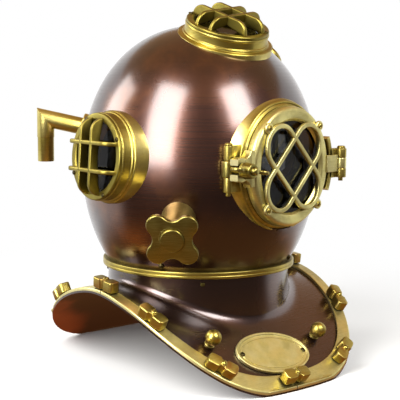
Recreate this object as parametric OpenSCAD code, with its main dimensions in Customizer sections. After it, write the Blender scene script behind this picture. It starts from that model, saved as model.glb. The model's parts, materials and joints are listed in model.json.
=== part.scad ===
// Diving helmet: a copper bonnet with four brass windows that turns on the neck ring
// of a saddle-shaped copper breastplate with a brass rim and twelve rim clamps.
// Frame: millimetres, +Z up, the front window faces -Y, the diver's right hand is -X,
// and z = 0 is the plane on which the two lobes of the breastplate stand.

/* [Breastplate] */
// Half width of the breastplate, shoulder to shoulder
plate_half_w = 162.4; // [154:0.2:172]
// Half length of the breastplate, front to back
plate_half_l = 190.6; // [184:0.2:200]
// Roundness of the outline, where 2 is an ellipse
plate_square = 2.68; // [2.4:0.02:3]
// Height of the shoulder line at the neck axis
shoulder_h = 111; // [102:0.5:120]
// Drop of the shoulder line at the outline
shoulder_drop = 4.5; // [2:0.5:10]
// Exponent of the front and back slopes
plate_slope = 1.84; // [1.7:0.02:2]
// Depth that is cut flat from the tips of the two lobes
foot_cut = 2; // [1.5:0.1:3]
// Upright thickness of the copper sheet
plate_wall = 2.4; // [1.8:0.1:3]
// Turn of the breastplate away from the front window
plate_turn = -6; // [-8:1:8]

/* [Neck] */
// Outer radius of the collar
collar_r = 115; // [112:0.5:118]
// Height of the collar's top over the shoulder line
collar_rise = 11; // [9:0.5:15]
// Width of the round foot of the collar
collar_foot = 15; // [10:0.5:19]
// Height of the bonnet ring
ring_h = 8; // [7:0.1:10]
// How far the bonnet ring stands out from the collar
ring_lip = 6.5; // [5:0.1:9]
// Number of locking lugs round the neck
lug_count = 4; // [4:1:4]
// Angle that one locking lug covers
lug_angle = 40; // [34:1:42]

/* [Bonnet] */
// Largest radius of the bonnet
bonnet_r = 147.3; // [144:0.1:150]
// Height of the widest level over the bonnet ring
bonnet_rise = 114.8; // [110:0.2:120]
// Height of the crown over the widest level
crown_h = 176; // [172:0.5:180]
// Exponent of the upper half, where 2 is an ellipse
crown_square = 2.12; // [2.04:0.02:2.2]
// Thickness of the copper of the bonnet
bonnet_wall = 2; // [1.6:0.1:2.6]

/* [Front window] */
// Height of the front window over the widest level
door_rise = 8.4; // [4:0.2:12]
// Radius of the front barrel's front face
barrel_r = 76.5; // [75.5:0.1:78]
// Growth of the barrel's radius towards the copper, per millimetre
barrel_cone = 0.45; // [0.3:0.01:0.6]
// How far the barrel's front face stands inside the bonnet's largest radius
barrel_sink = 9.3; // [7:0.1:11]
// Outer radius of the door
door_r = 71; // [70:0.5:72]
// Radius of the opening of the door
door_hole_r = 54; // [52:0.5:55]
// Thickness of the door
door_t = 11.6; // [11:0.1:13]
// Half width of one loop of the front guard
loop_r = 27; // [25.5:0.5:28]
// Half length of the straight part of one loop
loop_reach = 35; // [33:0.5:37]
// Width of the bars of the front guard
bar_w = 5.6; // [4.6:0.2:7]
// Thickness of the bars of the front guard
bar_t = 4.6; // [3.6:0.2:5.6]

/* [Door hinge and swing bolt] */
// Radius of the hinge pin
hinge_pin_r = 3.2; // [2.6:0.1:3.6]
// Radius of the hinge knuckles
knuckle_r = 6.6; // [6.2:0.1:7]
// Distance of the hinge pin outside the door's rim
hinge_out = 25; // [23:0.5:26]
// Distance of the swing bolt's pin outside the door's rim
latch_out = 19; // [18.5:0.1:19.5]
// Radius of the swing bolt's shank
shank_r = 4.4; // [3.8:0.1:4.6]
// Radius of the swing bolt's eye
eye_r = 8; // [7.6:0.1:8.2]
// Half span of the wing nut
wing_span = 29; // [25:0.5:31]

/* [Side and top windows] */
// Outer radius of the flange of the top window
top_flange_r = 58.6; // [57:0.1:60]
// Outer radius of the flange of a side window
side_flange_r = 54.6; // [54:0.1:56.5]
// Radius of the upper step of a fixed window
step_r = 51; // [50.6:0.1:52]
// Height of that step over the flange on the top window
top_step_h = 19; // [16:0.5:20]
// Height of that step over the flange on the side windows
side_step_h = 20; // [16:0.5:21]
// Radius of the hole through a fixed window
pane_hole_r = 40; // [37:0.5:41]
// Height of the side windows over the widest level
side_rise = 18.6; // [14:0.2:20]
// How far a side window's flange stands out of the bonnet's largest radius
side_over = 0.7; // [0:0.1:2]
// Place of the side windows, turned to the rear round the neck axis
side_turn = 2; // [0:1:4]
// Turn of a side window to the rear about its own middle
side_face = 6; // [2:1:7]
// Upward lean of the side windows
side_lift = 4; // [2:0.5:5]
// Forward lean of the top window
top_lean = 20.3; // [18:0.1:22]
// Lean of the top window to the diver's right
top_tilt = 8; // [5:0.5:9]
// How far the top window stands forward
top_ahead = 49; // [46:0.5:52]
// How far the top window stands to the diver's right
top_side = 7.5; // [4:0.5:10]
// How far the top window's flange stands under the top of the crown
top_sink = 16.6; // [15:0.1:18]
// Thickness of a guard fin
fin_t = 5; // [3.4:0.2:5.6]
// Height of a guard fin
fin_h = 15; // [13:0.5:17]
// Distance of the upright fins from the middle
fin_near = 11; // [9:0.5:13]
// Distance of the level fins from the middle
fin_far = 16; // [14:0.5:19]

/* [Air and exhaust] */
// Radius of the air elbows
elbow_r = 10.7; // [9.7:0.1:11.7]
// Distance of the drop of an elbow from the bonnet's largest radius
elbow_reach = 46.2; // [43:0.2:50]
// Height of the corner of an elbow over the widest level
elbow_rise = 59; // [56:0.5:62]
// Upward slope of the elbow's arm
elbow_slope = 12; // [8:1:15]
// Length of the elbow's drop from the corner
elbow_drop = 54; // [48:1:58]
// Radius of the hose end of an elbow
tail_r = 10.2; // [9.2:0.1:10.4]
// Length of that hose end
tail_l = 30; // [24:1:34]
// Radius of the bore of an elbow
elbow_bore_r = 7.5; // [6:0.1:8.5]
// Radius of the exhaust valve body
exhaust_r = 20; // [19:0.5:21]
// Distance of the hand wheel from the copper
exhaust_out = 58; // [50:1:62]
// Thickness of the hand wheel
wheel_t = 7; // [6:0.5:9]
// Radius of a lobe of the hand wheel
lobe_r = 12; // [11:0.5:13]
// Sideways distance of a lobe's middle from the wheel's two axes
lobe_at = 16.5; // [15.5:0.5:17.5]
// Radius of the wheel's waist between two lobes
waist_r = 22; // [21:0.5:23]
// Radius of the speaker cup
cup_r = 24; // [21:0.5:26]
// Height of the speaker cup over the copper
cup_h = 17; // [14:0.5:20]
// Travel of the chin button
chin_travel = 4; // [3:0.5:5]

/* [Rim and fittings] */
// Width of the brass rim
rim_w = 16; // [15:0.5:19]
// Thickness of the brass rim
rim_t = 3.6; // [3:0.1:4.6]
// Length of a clamp block
clamp_l = 37; // [30:0.5:39]
// Width of a clamp block
clamp_w = 14.6; // [13:0.2:15]
// Height of a clamp block
clamp_h = 12.5; // [8:0.5:14]
// Turn of the ring of clamps
clamp_turn = -3.5; // [-5:0.5:2]
// Radius of the balls that carry the chest weights
ball_r = 9.6; // [8.6:0.2:10.6]
// Length of the oval plate
oval_l = 106; // [96:1:110]
// Width of the oval plate
oval_w = 57; // [50:1:60]
// Turn of the oval plate and the balls round the neck
badge_turn = -5.5; // [-8:0.5:2]

/* [Hidden] */
$fn = 64;

// Clearances: pieces of one body, faces that move past each other, and shafts in bores
seat_gap = 0.1;
run_gap = 0.3;
pin_gap = 0.06;
far = 400;
steps = 96;

// Levels that everything above the breastplate is built on
collar_top = shoulder_h + collar_rise;
ring_z = collar_top + 1.3;
bonnet_z = ring_z + ring_h;
mid_z = bonnet_z + bonnet_rise;
ring_r = collar_r + ring_lip;
neck_out_r = collar_r + 1.3;
low_h = bonnet_rise / sqrt(1 - pow(neck_out_r / bonnet_r, 2));
barrel_y = bonnet_r - barrel_sink;
side_out = bonnet_r + side_over;
top_rise = crown_h - top_sink;
elbow_out = bonnet_r + elbow_reach;

// Breastplate surface: a saddle that falls to the front and back, in its own unturned frame
function signed_power(v, e) = sign(v) * pow(abs(v), e);
function outline_r(a) = pow(pow(abs(cos(a)) / plate_half_w, plate_square)
    + pow(abs(sin(a)) / plate_half_l, plate_square), -1 / plate_square);
function outline_pt(a) = outline_r(a) * [cos(a), sin(a)];
function outline_dir(p) = let (
    gx = signed_power(p[0] / plate_half_w, plate_square - 1) / plate_half_w,
    gy = signed_power(p[1] / plate_half_l, plate_square - 1) / plate_half_l)
    [gx, gy] / norm([gx, gy]);
function inset(a, d) = let (p = outline_pt(a)) p - d * outline_dir(p);
function saddle(p) = max(plate_wall, (shoulder_h - shoulder_drop * pow(p[0] / plate_half_w, 2))
    * (1 - pow(abs(p[1]) / plate_half_l, plate_slope)) - foot_cut);
function saddle_tilt(y) = atan(shoulder_h * plate_slope / plate_half_l
    * pow(abs(y) / plate_half_l, plate_slope - 1));

// One column of the sheet: collar wall, round foot, slope, brim. The last point is the outline.
foot_steps = 6;
foot_strip = 4;
slope_steps = 6;
function foot_pt(a, r, drop, t) = let (
    d = [cos(a), sin(a)],
    foot = r + collar_foot,
    z1 = saddle(foot * d) - drop,
    rise = (saddle((foot - 1) * d) - saddle((foot + 1) * d)) / 2,
    corner = z1 + rise * collar_foot,
    mix = (1 - t) * (1 - t) * (corner + collar_foot * 0.6) + 2 * t * (1 - t) * corner + t * t * z1)
    [for (v = ((1 - t) * (1 - t) * r + 2 * t * (1 - t) * r + t * t * foot) * d) v, mix];
function column(a, r, drop) = let (
    e = inset(a, rim_w),
    k = inset(a, foot_strip),
    b = atan2(e[1], e[0]),
    d = [cos(b), sin(b)],
    low = foot_pt(b, r, drop, 0),
    f = foot_pt(b, r, drop, 1),
    o = outline_pt(a))
    concat(
        [for (i = [0:1]) [r * d[0], r * d[1], collar_top + (low[2] - collar_top) * i / 2]],
        [for (i = [0:foot_steps]) foot_pt(b, r, drop, i / foot_steps)],
        [for (i = [1:slope_steps]) let (q = [f[0], f[1]] + (e - [f[0], f[1]]) * i / slope_steps)
            [q[0], q[1], saddle(q) - drop]],
        [[k[0], k[1], saddle(k) - drop], [o[0], o[1], saddle(o) - drop]]);

// Quads between neighbouring rows of a closed loop of points, as triangles that face outwards
function tube_faces(rows, n) = [for (j = [0:rows - 1]) for (i = [0:n - 1]) let (
    a = j * n + i,
    b = j * n + (i + 1) % n,
    c = ((j + 1) % rows) * n + (i + 1) % n,
    d = ((j + 1) % rows) * n + i) each [[a, c, b], [a, d, c]]];
function strip_faces(rows, n) = concat(
    [for (j = [0:rows - 2]) for (i = [0:n - 1]) let (
        a = j * n + i,
        b = j * n + (i + 1) % n,
        c = (j + 1) * n + (i + 1) % n,
        d = (j + 1) * n + i) each [[a, c, b], [a, d, c]]],
    [[for (i = [0:n - 1]) i]],
    [[for (i = [n - 1:-1:0]) (rows - 1) * n + i]]);
function back(v) = [for (i = [len(v) - 1:-1:0]) v[i]];

// Bonnet profile: half an ellipse below, a slightly squarer one above, grown outwards by g
function low_pt(t, g) = [(bonnet_r + g) * cos(t), mid_z - (low_h + g) * sin(t)];
function high_pt(t, g) = [(bonnet_r + g) * pow(cos(t), 2 / crown_square),
    mid_z + (crown_h + g) * pow(sin(t), 2 / crown_square)];
function bonnet_side(g) = let (t0 = asin(bonnet_rise / (low_h + g))) concat(
    [for (i = [12:-1:1]) low_pt(t0 * i / 12, g)],
    [for (i = [0:19]) high_pt(i * 4.6, g)],
    [[0, mid_z + crown_h + g]]);
function bonnet_radius(z) = z < mid_z
    ? bonnet_r * sqrt(1 - pow((mid_z - z) / low_h, 2))
    : bonnet_r * pow(1 - pow((z - mid_z) / crown_h, crown_square), 1 / crown_square);

// Places
door_z = mid_z + door_rise;
side_z = mid_z + side_rise;
latch_z = door_z + 1.6;
latch_x = -(door_r + latch_out);
hinge_x = door_r + hinge_out;
door_back = barrel_y + 0.7;
door_face = door_back + door_t;
latch_y = -(barrel_y - 8);
washer_slack = 2.4;
nut_y = door_face + washer_slack;
ball_at = plate_half_l - 33.6;
ball_turn = 30.3;
badge_at = plate_half_l - 38.4;
exhaust_level = mid_z - 48.8;
exhaust_az = -146;
exhaust_yaw = 4;
exhaust_dip = -14;
exhaust_at = bonnet_radius(exhaust_level);
cup_az = -8;
cup_el = 41;
cup_z = mid_z + 131;
elbow_arm_z = mid_z + elbow_rise;

module at_plate() { rotate([0, 0, plate_turn]) children(); }
module at_door() { translate([0, 0, door_z]) rotate([90, 0, 0]) children(); }
module at_right() {
    rotate([0, 0, -side_turn]) translate([-side_out, 0, side_z]) rotate([0, 0, -side_face])
        rotate([0, side_lift - 90, 0]) children();
}
module at_left() { mirror([1, 0, 0]) at_right() children(); }
module at_top() {
    translate([-top_side, -top_ahead, mid_z + top_rise]) rotate([0, -top_tilt, 0]) rotate([top_lean, 0, 0])
        rotate([0, 0, 90]) children();
}
module at_exhaust() {
    translate([exhaust_at * cos(exhaust_az), exhaust_at * sin(exhaust_az), exhaust_level])
        rotate([0, 90 - exhaust_dip, exhaust_az + exhaust_yaw]) children();
}
module at_cup() {
    translate([bonnet_radius(cup_z) * cos(cup_az), bonnet_radius(cup_z) * sin(cup_az), cup_z])
        rotate([0, 90 - cup_el, cup_az]) children();
}
module at_elbow(side) { rotate([0, 0, side > 0 ? 45 : 135]) children(); }
module disc(r, z0, z1) { translate([0, 0, z0]) cylinder(r = r, h = z1 - z0); }
module pipe(r, bore, z0, z1) { difference() { disc(r, z0, z1); disc(bore, z0 - 1, z1 + 1); } }
module turned(profile) { rotate_extrude() polygon(profile); }
module sector(r, a) {
    polygon(concat([[0, 0]], [for (i = [0:6]) r * [cos(a * (i / 6 - 0.5)), sin(a * (i / 6 - 0.5))]]));
}
module bonnet_solid(g) { turned(concat([[0, bonnet_z - g]], [for (p = bonnet_side(g)) p])); }

// Copper sheet of the breastplate, with its collar
module breastplate() {
    color([0.30, 0.17, 0.13]) at_plate() {
        outer = [for (j = [0:steps - 1]) column(j * 360 / steps, collar_r, 0)];
        inner = [for (j = [0:steps - 1]) column(j * 360 / steps, collar_r - 2, plate_wall)];
        loops = [for (j = [0:steps - 1]) concat(outer[j], back(inner[j]))];
        n = len(loops[0]);
        polyhedron([for (l = loops) each l], tube_faces(steps, n));
    }
}

// Brass ring inside the collar, with the lugs that hold the bonnet down
tube_r = collar_r - 6.4;
lug_r = collar_r - 2.4;
module lugs(r0, r1, z0, z1, shift) {
    for (i = [0:lug_count - 1]) rotate([0, 0, i * 360 / lug_count + shift]) translate([0, 0, z0])
        linear_extrude(z1 - z0) intersection() {
            difference() { circle(r1); circle(r0); }
            sector(r1 * 1.2, lug_angle);
        }
}
module collar_ring() {
    color([0.66, 0.56, 0.30]) at_plate() {
        pipe(tube_r, tube_r - 4.6, collar_top - 15, bonnet_z - 0.2);
        pipe(collar_r - 2.1, tube_r - 1, collar_top - 15, collar_top - 1);
        lugs(tube_r - 1, lug_r, bonnet_z - 4, bonnet_z - 0.2, 45);
    }
}
module neck_gasket() {
    color([0.22, 0.15, 0.10]) pipe(collar_r - 2.2, tube_r + 0.2, collar_top - 0.9, collar_top + 0.9);
}

// Brass ring at the foot of the bonnet, with lugs that turn under those of the collar ring
socket_h = 9;
function socket_r(up) = let (g = bonnet_wall + run_gap)
    (bonnet_r - g) * sqrt(1 - pow((bonnet_rise - up) / (low_h - g), 2));
module bonnet_ring() {
    color([0.66, 0.56, 0.30]) {
        turned([[lug_r + 0.5, ring_z], [ring_r - 1, ring_z], [ring_r, ring_z + 1],
                [ring_r, ring_z + 3], [ring_r - 0.8, ring_z + 3.6], [ring_r, ring_z + 4.2],
                [ring_r, bonnet_z - 1], [ring_r - 1, bonnet_z], [socket_r(0), bonnet_z],
                [socket_r(socket_h), bonnet_z + socket_h], [socket_r(socket_h) - 3, bonnet_z + socket_h],
                [lug_r + 0.5, bonnet_z + 1]]);
        lugs(tube_r + 0.5, lug_r + 1.5, ring_z, ring_z + ring_h - 4.3, 45);
    }
}

// Brass rim in four lengths that meet under the shoulder, front and back clamps
rim_gap = 0.2;
module rim(a0, a1) {
    n = 24;
    rows = [for (i = [0:n]) let (
        a = a0 + rim_gap + (a1 - a0 - 2 * rim_gap) * i / n,
        o = outline_pt(a) + 0.2 * outline_dir(outline_pt(a)),
        e = inset(a, rim_w - 0.1),
        zo = saddle(outline_pt(a)) + seat_gap,
        ze = saddle(e) + seat_gap,
        b = inset(a, 0.9),
        f = inset(a, rim_w - 1),
        k = inset(a, foot_strip),
        zk = saddle(k) + seat_gap,
        lift = 0.5)
        [[o[0], o[1], zo], [o[0], o[1], zo + rim_t - 0.9], [b[0], b[1], zo + rim_t + lift],
            [f[0], f[1], ze + rim_t], [e[0], e[1], ze + rim_t - 0.9], [e[0], e[1], ze], [k[0], k[1], zk]]];
    color([0.80, 0.71, 0.42]) at_plate() polyhedron([for (r = rows) each r], strip_faces(n + 1, 7));
}
right_clamps = [30, 56, 82, 118, 143];
left_clamps = [30, 56, 90, 112, 146];
clamp_angles = [for (a = concat([0, 180], [for (v = right_clamps) -v], left_clamps)) 270 + clamp_turn + a];
front_cut = clamp_angles[0];
back_cut = clamp_angles[1] - 360;
right_cut = clamp_angles[4];
left_cut = clamp_angles[9] - 360;
module rim_front_right() { rim(right_cut, front_cut); }
module rim_front_left() { rim(front_cut - 360, left_cut); }
module rim_back_right() { rim(back_cut, right_cut); }
module rim_back_left() { rim(left_cut, back_cut); }

// Places on the rim: middle of its width, square to the outline, leaning with the brass
module on_rim(a, up) {
    m = inset(a, rim_w / 2);
    o = outline_pt(a);
    e = inset(a, rim_w);
    d = outline_dir(o);
    p = inset(a + 2, rim_w / 2);
    q = inset(a - 2, rim_w / 2);
    lean = atan2(saddle(e) - saddle(o), rim_w);
    roll = atan2(saddle(p) - saddle(q), norm(p - q));
    translate([m[0], m[1], (saddle(o) + saddle(e)) / 2 + rim_t]) rotate([0, 0, atan2(d[1], d[0])])
        rotate([roll, 0, 0]) rotate([0, lean, 0]) translate([0, 0, up]) children();
}
clamp_round = 4.6;
module clamp_block() {
    difference() {
        linear_extrude(clamp_h) difference() {
            union() {
                for (x = [-1, 1]) for (y = [-1, 1])
                    translate([x * (clamp_w / 2 - clamp_round), y * (clamp_l / 2 - clamp_round)])
                        circle(clamp_round);
                square([clamp_w, clamp_l - 2 * clamp_round], center = true);
                square([clamp_w - 2 * clamp_round, clamp_l], center = true);
            }
            for (s = [-1, 1]) translate([s * (clamp_w / 2 + 1.6), 0]) circle(clamp_round);
        }
        disc(2.6, clamp_h - 7, clamp_h + 1);
    }
}
clamp_lift = 1.1;
module rim_clamps() {
    color([0.72, 0.60, 0.30]) at_plate() for (a = clamp_angles) on_rim(a, clamp_lift) clamp_block();
}
module slotted_screw(head_r, head_h, shank, depth) {
    difference() {
        union() {
            turned([[0, 0], [head_r, 0], [head_r, head_h * 0.5], [head_r * 0.7, head_h], [0, head_h]]);
            disc(shank, -depth, 0.2);
        }
        translate([-head_r, -0.45, head_h - 0.9]) cube([2 * head_r, 0.9, 2]);
    }
}
module clamp_screws() {
    color([0.62, 0.55, 0.38]) at_plate() for (a = clamp_angles)
        on_rim(a, clamp_lift + clamp_h + 0.1) slotted_screw(3.4, 2.4, 2.4, 6);
}

// Fittings on the front lobe
module on_plate(a, r, up) {
    p = r * [cos(a), sin(a)];
    translate([p[0], p[1], saddle(p)]) rotate([p[1] < 0 ? saddle_tilt(p[1]) : -saddle_tilt(p[1]), 0, 0])
        translate([0, 0, up]) children();
}
module weight_balls() {
    color([0.66, 0.55, 0.27]) at_plate() for (a = [-ball_turn, ball_turn])
        on_plate(270 + badge_turn + a, ball_at, 0.25) {
            turned([[0, 0], [8.2, 0], [8.2, 1], [5, 2.2], [5, ball_r], [0, ball_r]]);
            translate([0, 0, ball_r + 1.4]) sphere(ball_r);
        }
}
function oval(l, w) = [for (i = [0:59]) [l / 2 * cos(i * 6), w / 2 * sin(i * 6)]];
module on_badge() { on_plate(270 + badge_turn, badge_at, 0) rotate([0, 0, badge_turn * 1.4]) children(); }
module oval_plate() {
    color([0.60, 0.52, 0.28]) at_plate() on_badge() difference() {
        union() {
            translate([0, 0, 0.3]) linear_extrude(2.6) polygon(oval(oval_l, oval_w));
            translate([0, 0, 2.8]) linear_extrude(1.2) difference() {
                polygon(oval(oval_l - 1, oval_w - 1));
                polygon(oval(oval_l - 6, oval_w - 6));
            }
        }
        for (s = [-1, 1]) translate([s * oval_l * 0.43, 0, 0]) disc(1.6, -1, 9);
    }
}
module oval_plate_screws() {
    color([0.45, 0.38, 0.22]) at_plate() on_badge() for (s = [-1, 1])
        translate([s * oval_l * 0.43, 0, 3]) slotted_screw(2.9, 1.8, 1.5, 2.2);
}
module round_screws(a, level, r, head) {
    for (i = a) rotate([0, 0, i]) translate([r, 0, level]) rotate([0, 90, 0])
        turned([[0, 0], [head, 0], [head, 0.6], [head * 0.6, 1.6], [0, 1.6]]);
}
module collar_screws() {
    color([0.20, 0.15, 0.11]) at_plate()
        round_screws([for (i = [0:3]) 232 + 90 * i], collar_top - 6, collar_r + 0.1, 2.6);
}
stud_z = bonnet_z + 6;
stud_dip = atan((bonnet_radius(stud_z + 1) - bonnet_radius(stud_z - 1)) / 2);
module ring_studs() {
    color([0.20, 0.15, 0.11]) for (i = [0:3]) rotate([0, 0, 202 + 90 * i])
        translate([bonnet_radius(stud_z), 0, stud_z]) rotate([0, 90 + stud_dip, 0])
            turned([[0, 0.3], [3.4, 0.3], [3.4, 1.2], [2, 2.6], [0, 2.6]]);
}

// Bonnet: a spun copper shell with a hole behind each fitting. Each ring sits in its hole,
// and its wider part stands on the copper round the hole.
barrel_bore = door_hole_r + 2;
port_r = barrel_r - 2;
pane_r = pane_hole_r + 5.5;
recess_r = pane_r + 0.5;
hole_r = recess_r + 1.5;
module on_copper() { difference() { children(); bonnet_solid(seat_gap); } }
module bonnet() {
    color([0.33, 0.15, 0.10]) difference() {
        turned(concat(bonnet_side(0), back(bonnet_side(-bonnet_wall))));
        at_door() disc(port_r + seat_gap, 60, far);
        at_right() disc(hole_r + seat_gap, -60, 60);
        at_left() disc(hole_r + seat_gap, -60, 60);
        at_top() disc(hole_r + seat_gap, -60, 60);
        at_exhaust() disc(12, -30, 20);
        at_cup() disc(cup_r - 8, -30, 20);
        for (s = [-1, 1]) at_elbow(s) elbow_path() disc(elbow_bore_r, -90, -20);
    }
}

// Front barrel with the hinge arms and the ears of the swing bolt
ear_gap = 9.5;
knuckle_gap = 6.7;
arm_h = 11.3;
leaf_h = 25;
leaf_r = door_r + 4;
module front_barrel() {
    color([0.62, 0.52, 0.27]) difference() {
        union() {
            on_copper() barrel_body();
            at_door() turned([[barrel_bore, barrel_y - 16], [port_r, barrel_y - 16],
                [port_r, barrel_y - 1.9], [port_r - 3, barrel_y], [barrel_bore, barrel_y]]);
        }
        translate([latch_x, latch_y, latch_z - 40]) cylinder(r = 3 + 0.02, h = 80);
        translate([latch_x, latch_y, latch_z - ear_gap]) cylinder(r = eye_r + 0.7, h = 2 * ear_gap);
        translate([hinge_x, -door_face, door_z - 40]) cylinder(r = hinge_pin_r + 0.02, h = 80);
        at_door() translate([0, 0, barrel_y - 1.6]) gasket_groove();
    }
}
module barrel_body() {
    wide_r = barrel_r + 28 * barrel_cone;
    at_door() turned([[port_r - 1.5, 60], [wide_r, 60], [wide_r, barrel_y - 28],
        [barrel_r + 3 * barrel_cone, barrel_y - 3], [barrel_r, barrel_y - 1.2],
        [port_r - 1.5, barrel_y - 1.2]]);
    for (s = [-1, 1]) translate([0, 0, latch_z + s * (ear_gap + 8.5)]) {
        translate([latch_x + 9, latch_y + 1.5, 0]) cube([18, 12, 17], center = true);
        translate([latch_x, latch_y, -8.5]) cylinder(r = 5.6, h = 17);
    }
    for (s = [-1, 1]) translate([0, 0, door_z]) scale([1, 1, s]) hinge_arm();
}
module gasket_groove() { pipe(door_r - 3, door_hole_r + 5.6, 0, 2); }
arm_back = door_face - 2.1;
module hinge_arm() {
    translate([hinge_x, -door_face, knuckle_gap]) cylinder(r = knuckle_r, h = arm_h);
    translate([leaf_r, -arm_back, knuckle_gap]) cube([hinge_x - leaf_r, 7, arm_h]);
    intersection() {
        rotate([90, 0, 0]) pipe(leaf_r + 7, leaf_r, barrel_y - 14, arm_back);
        translate([leaf_r - 20, -far, knuckle_gap]) cube([40, far, leaf_h]);
    }
}
module door_gasket() {
    color([0.10, 0.09, 0.08]) at_door()
        pipe(door_r - 3.1, door_hole_r + 5.7, barrel_y - 1.5, barrel_y + 0.35);
}
module pin(r, head, z0, z1) {
    cylinder(r = r, h = z1 - z0);
    translate([0, 0, z1 - z0]) turned([[0, 0], [head, 0], [head, 1.6], [head - 1.4, 3], [0, 3]]);
    translate([0, 0, -4]) cylinder(r = r - 0.3, h = 4);
}
module hinge_pin() {
    z0 = door_z - knuckle_gap - arm_h - 0.2;
    z1 = door_z + knuckle_gap + arm_h + 0.1;
    color([0.60, 0.51, 0.27]) translate([hinge_x, -door_face, z0])
        pin(hinge_pin_r, knuckle_r - 1.4, z0, z1);
}
module latch_pin() {
    z0 = latch_z - ear_gap - 17;
    z1 = latch_z + ear_gap + 17.1;
    color([0.60, 0.51, 0.27]) translate([latch_x, latch_y, z0]) pin(3, 4.6, z0, z1);
}

// Fixed windows: a brass ring on the copper, a gasket, a pane and a finned guard
module window_flange(flange_r, step_h) {
    turned([[recess_r, -60], [flange_r, -60], [flange_r, -1.8], [flange_r - 0.8, -0.4],
        [step_r + 1.6, 0], [step_r + 0.8, 1.2], [step_r + 0.9, 1.8], [step_r, step_h - 4.2],
        [recess_r, step_h - 4.2]]);
}
module window_neck() { pipe(hole_r, pane_hole_r, -16, 0.6); }
module window_gasket() { pipe(pane_r, pane_hole_r, 0.7, 2.5); }
module window_glass() { disc(pane_r, 2.6, 8.6); }
function arc_r(l, h) = (l * l + h * h) / (2 * h);
module fin(offset_x, step_h) {
    reach = sqrt(pow(recess_r, 2) - pow(offset_x, 2));
    inner = reach - 8;
    low = 4;
    translate([offset_x + fin_t / 2, 0, step_h - 0.4]) rotate([90, 0, -90]) linear_extrude(fin_t)
        difference() {
            union() {
                intersection() {
                    for (s = [-1, 1]) translate([s * (reach - fin_h), 0]) circle(fin_h);
                    translate([-reach, 0]) square([2 * reach, fin_h + 1]);
                }
                translate([fin_h - reach, 0]) square([2 * (reach - fin_h), fin_h]);
            }
            translate([0, low - arc_r(inner, low)]) circle(arc_r(inner, low));
        }
}
guard_spots = [27, 117, 207, 297];
module window_guard(turn, step_h) {
    turned([[pane_hole_r + 1.5, 8.7], [recess_r - 0.2, 8.7], [recess_r - 0.2, step_h - 4.1],
        [step_r - 0.2, step_h - 4.1], [step_r - 0.2, step_h - 0.8], [step_r - 1, step_h],
        [pane_hole_r + 2.3, step_h], [pane_hole_r + 1.5, step_h - 0.8]]);
    rotate([0, 0, turn]) {
        for (s = [-1, 1]) fin(s * fin_near, step_h);
        rotate([0, 0, 90]) for (s = [-1, 1]) fin(s * fin_far, step_h);
    }
}
module window_screws(step_h) {
    for (a = guard_spots) rotate([0, 0, a]) translate([(step_r + recess_r) / 2 - 0.4, 0, step_h + 0.05])
        slotted_screw(2.6, 1.5, 1, 0);
}
module top_window() {
    color([0.72, 0.62, 0.33]) {
        on_copper() at_top() window_flange(top_flange_r, top_step_h);
        at_top() window_neck();
    }
}
module right_window() {
    color([0.72, 0.62, 0.33]) {
        on_copper() at_right() window_flange(side_flange_r, side_step_h);
        at_right() window_neck();
    }
}
module left_window() {
    color([0.72, 0.62, 0.33]) {
        on_copper() at_left() window_flange(side_flange_r, side_step_h);
        at_left() window_neck();
    }
}
module top_gasket() { color([0.10, 0.09, 0.08]) at_top() window_gasket(); }
module right_gasket() { color([0.10, 0.09, 0.08]) at_right() window_gasket(); }
module left_gasket() { color([0.10, 0.09, 0.08]) at_left() window_gasket(); }
module top_glass() { color([0.05, 0.06, 0.06]) at_top() window_glass(); }
module right_glass() { color([0.05, 0.06, 0.06]) at_right() window_glass(); }
module left_glass() { color([0.05, 0.06, 0.06]) at_left() window_glass(); }
module top_guard() { color([0.60, 0.52, 0.28]) at_top() window_guard(0, top_step_h); }
module right_guard() { color([0.60, 0.52, 0.28]) at_right() window_guard(90, side_step_h); }
module left_guard() { color([0.60, 0.52, 0.28]) at_left() window_guard(90, side_step_h); }
module guard_screws() {
    color([0.45, 0.38, 0.22]) {
        at_top() window_screws(top_step_h);
        at_right() window_screws(side_step_h);
        at_left() window_screws(side_step_h);
    }
}

// Rear elbows: a rising arm out of the copper, mitred and brazed to a spigot that drops from it
mitre = (90 + elbow_slope) / 2;
module elbow_path() { translate([elbow_out, 0, elbow_arm_z]) rotate([0, 90 - elbow_slope, 0]) children(); }
module beyond_mitre(s, gap) {
    translate([elbow_out, 0, elbow_arm_z]) rotate([0, 90 - mitre, 0])
        translate([s > 0 ? -gap : -far + gap, -far / 2, -far / 2]) cube(far);
}
module elbow_arm(side) {
    color([0.72, 0.62, 0.33]) difference() {
        at_elbow(side) {
            elbow_path() disc(elbow_r, -90, 40);
            elbow_path() disc(elbow_r + 6, -62, -46.5);
        }
        at_elbow(side) {
            elbow_path() disc(elbow_bore_r, -91, 41);
            beyond_mitre(1, seat_gap / 2);
        }
        bonnet_solid(seat_gap);
    }
}
module elbow_spigot(side) {
    color([0.72, 0.62, 0.33]) at_elbow(side) difference() {
        translate([elbow_out, 0, elbow_arm_z]) {
            disc(elbow_r, tail_l - elbow_drop, 40);
            disc(tail_r, -elbow_drop, tail_l - elbow_drop + 1);
        }
        translate([elbow_out, 0, elbow_arm_z]) disc(elbow_bore_r, -elbow_drop - 1, 41);
        beyond_mitre(-1, seat_gap / 2);
    }
}
module air_elbow() { elbow_arm(-1); }
module air_spigot() { elbow_spigot(-1); }
module phone_elbow() { elbow_arm(1); }
module phone_spigot() { elbow_spigot(1); }

// Cup over the speaker, on the diver's left
module speaker_cup() {
    color([0.72, 0.62, 0.33]) difference() {
        at_cup() turned([[0, -20], [cup_r + 3, -20], [cup_r + 3, 2], [cup_r, 3.4], [cup_r, cup_h - 5],
            [cup_r - 1.6, cup_h - 1.6], [cup_r - 5, cup_h], [0, cup_h]]);
        at_cup() disc(cup_r - 3, -21, cup_h - 3);
        bonnet_solid(seat_gap);
    }
}

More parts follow.
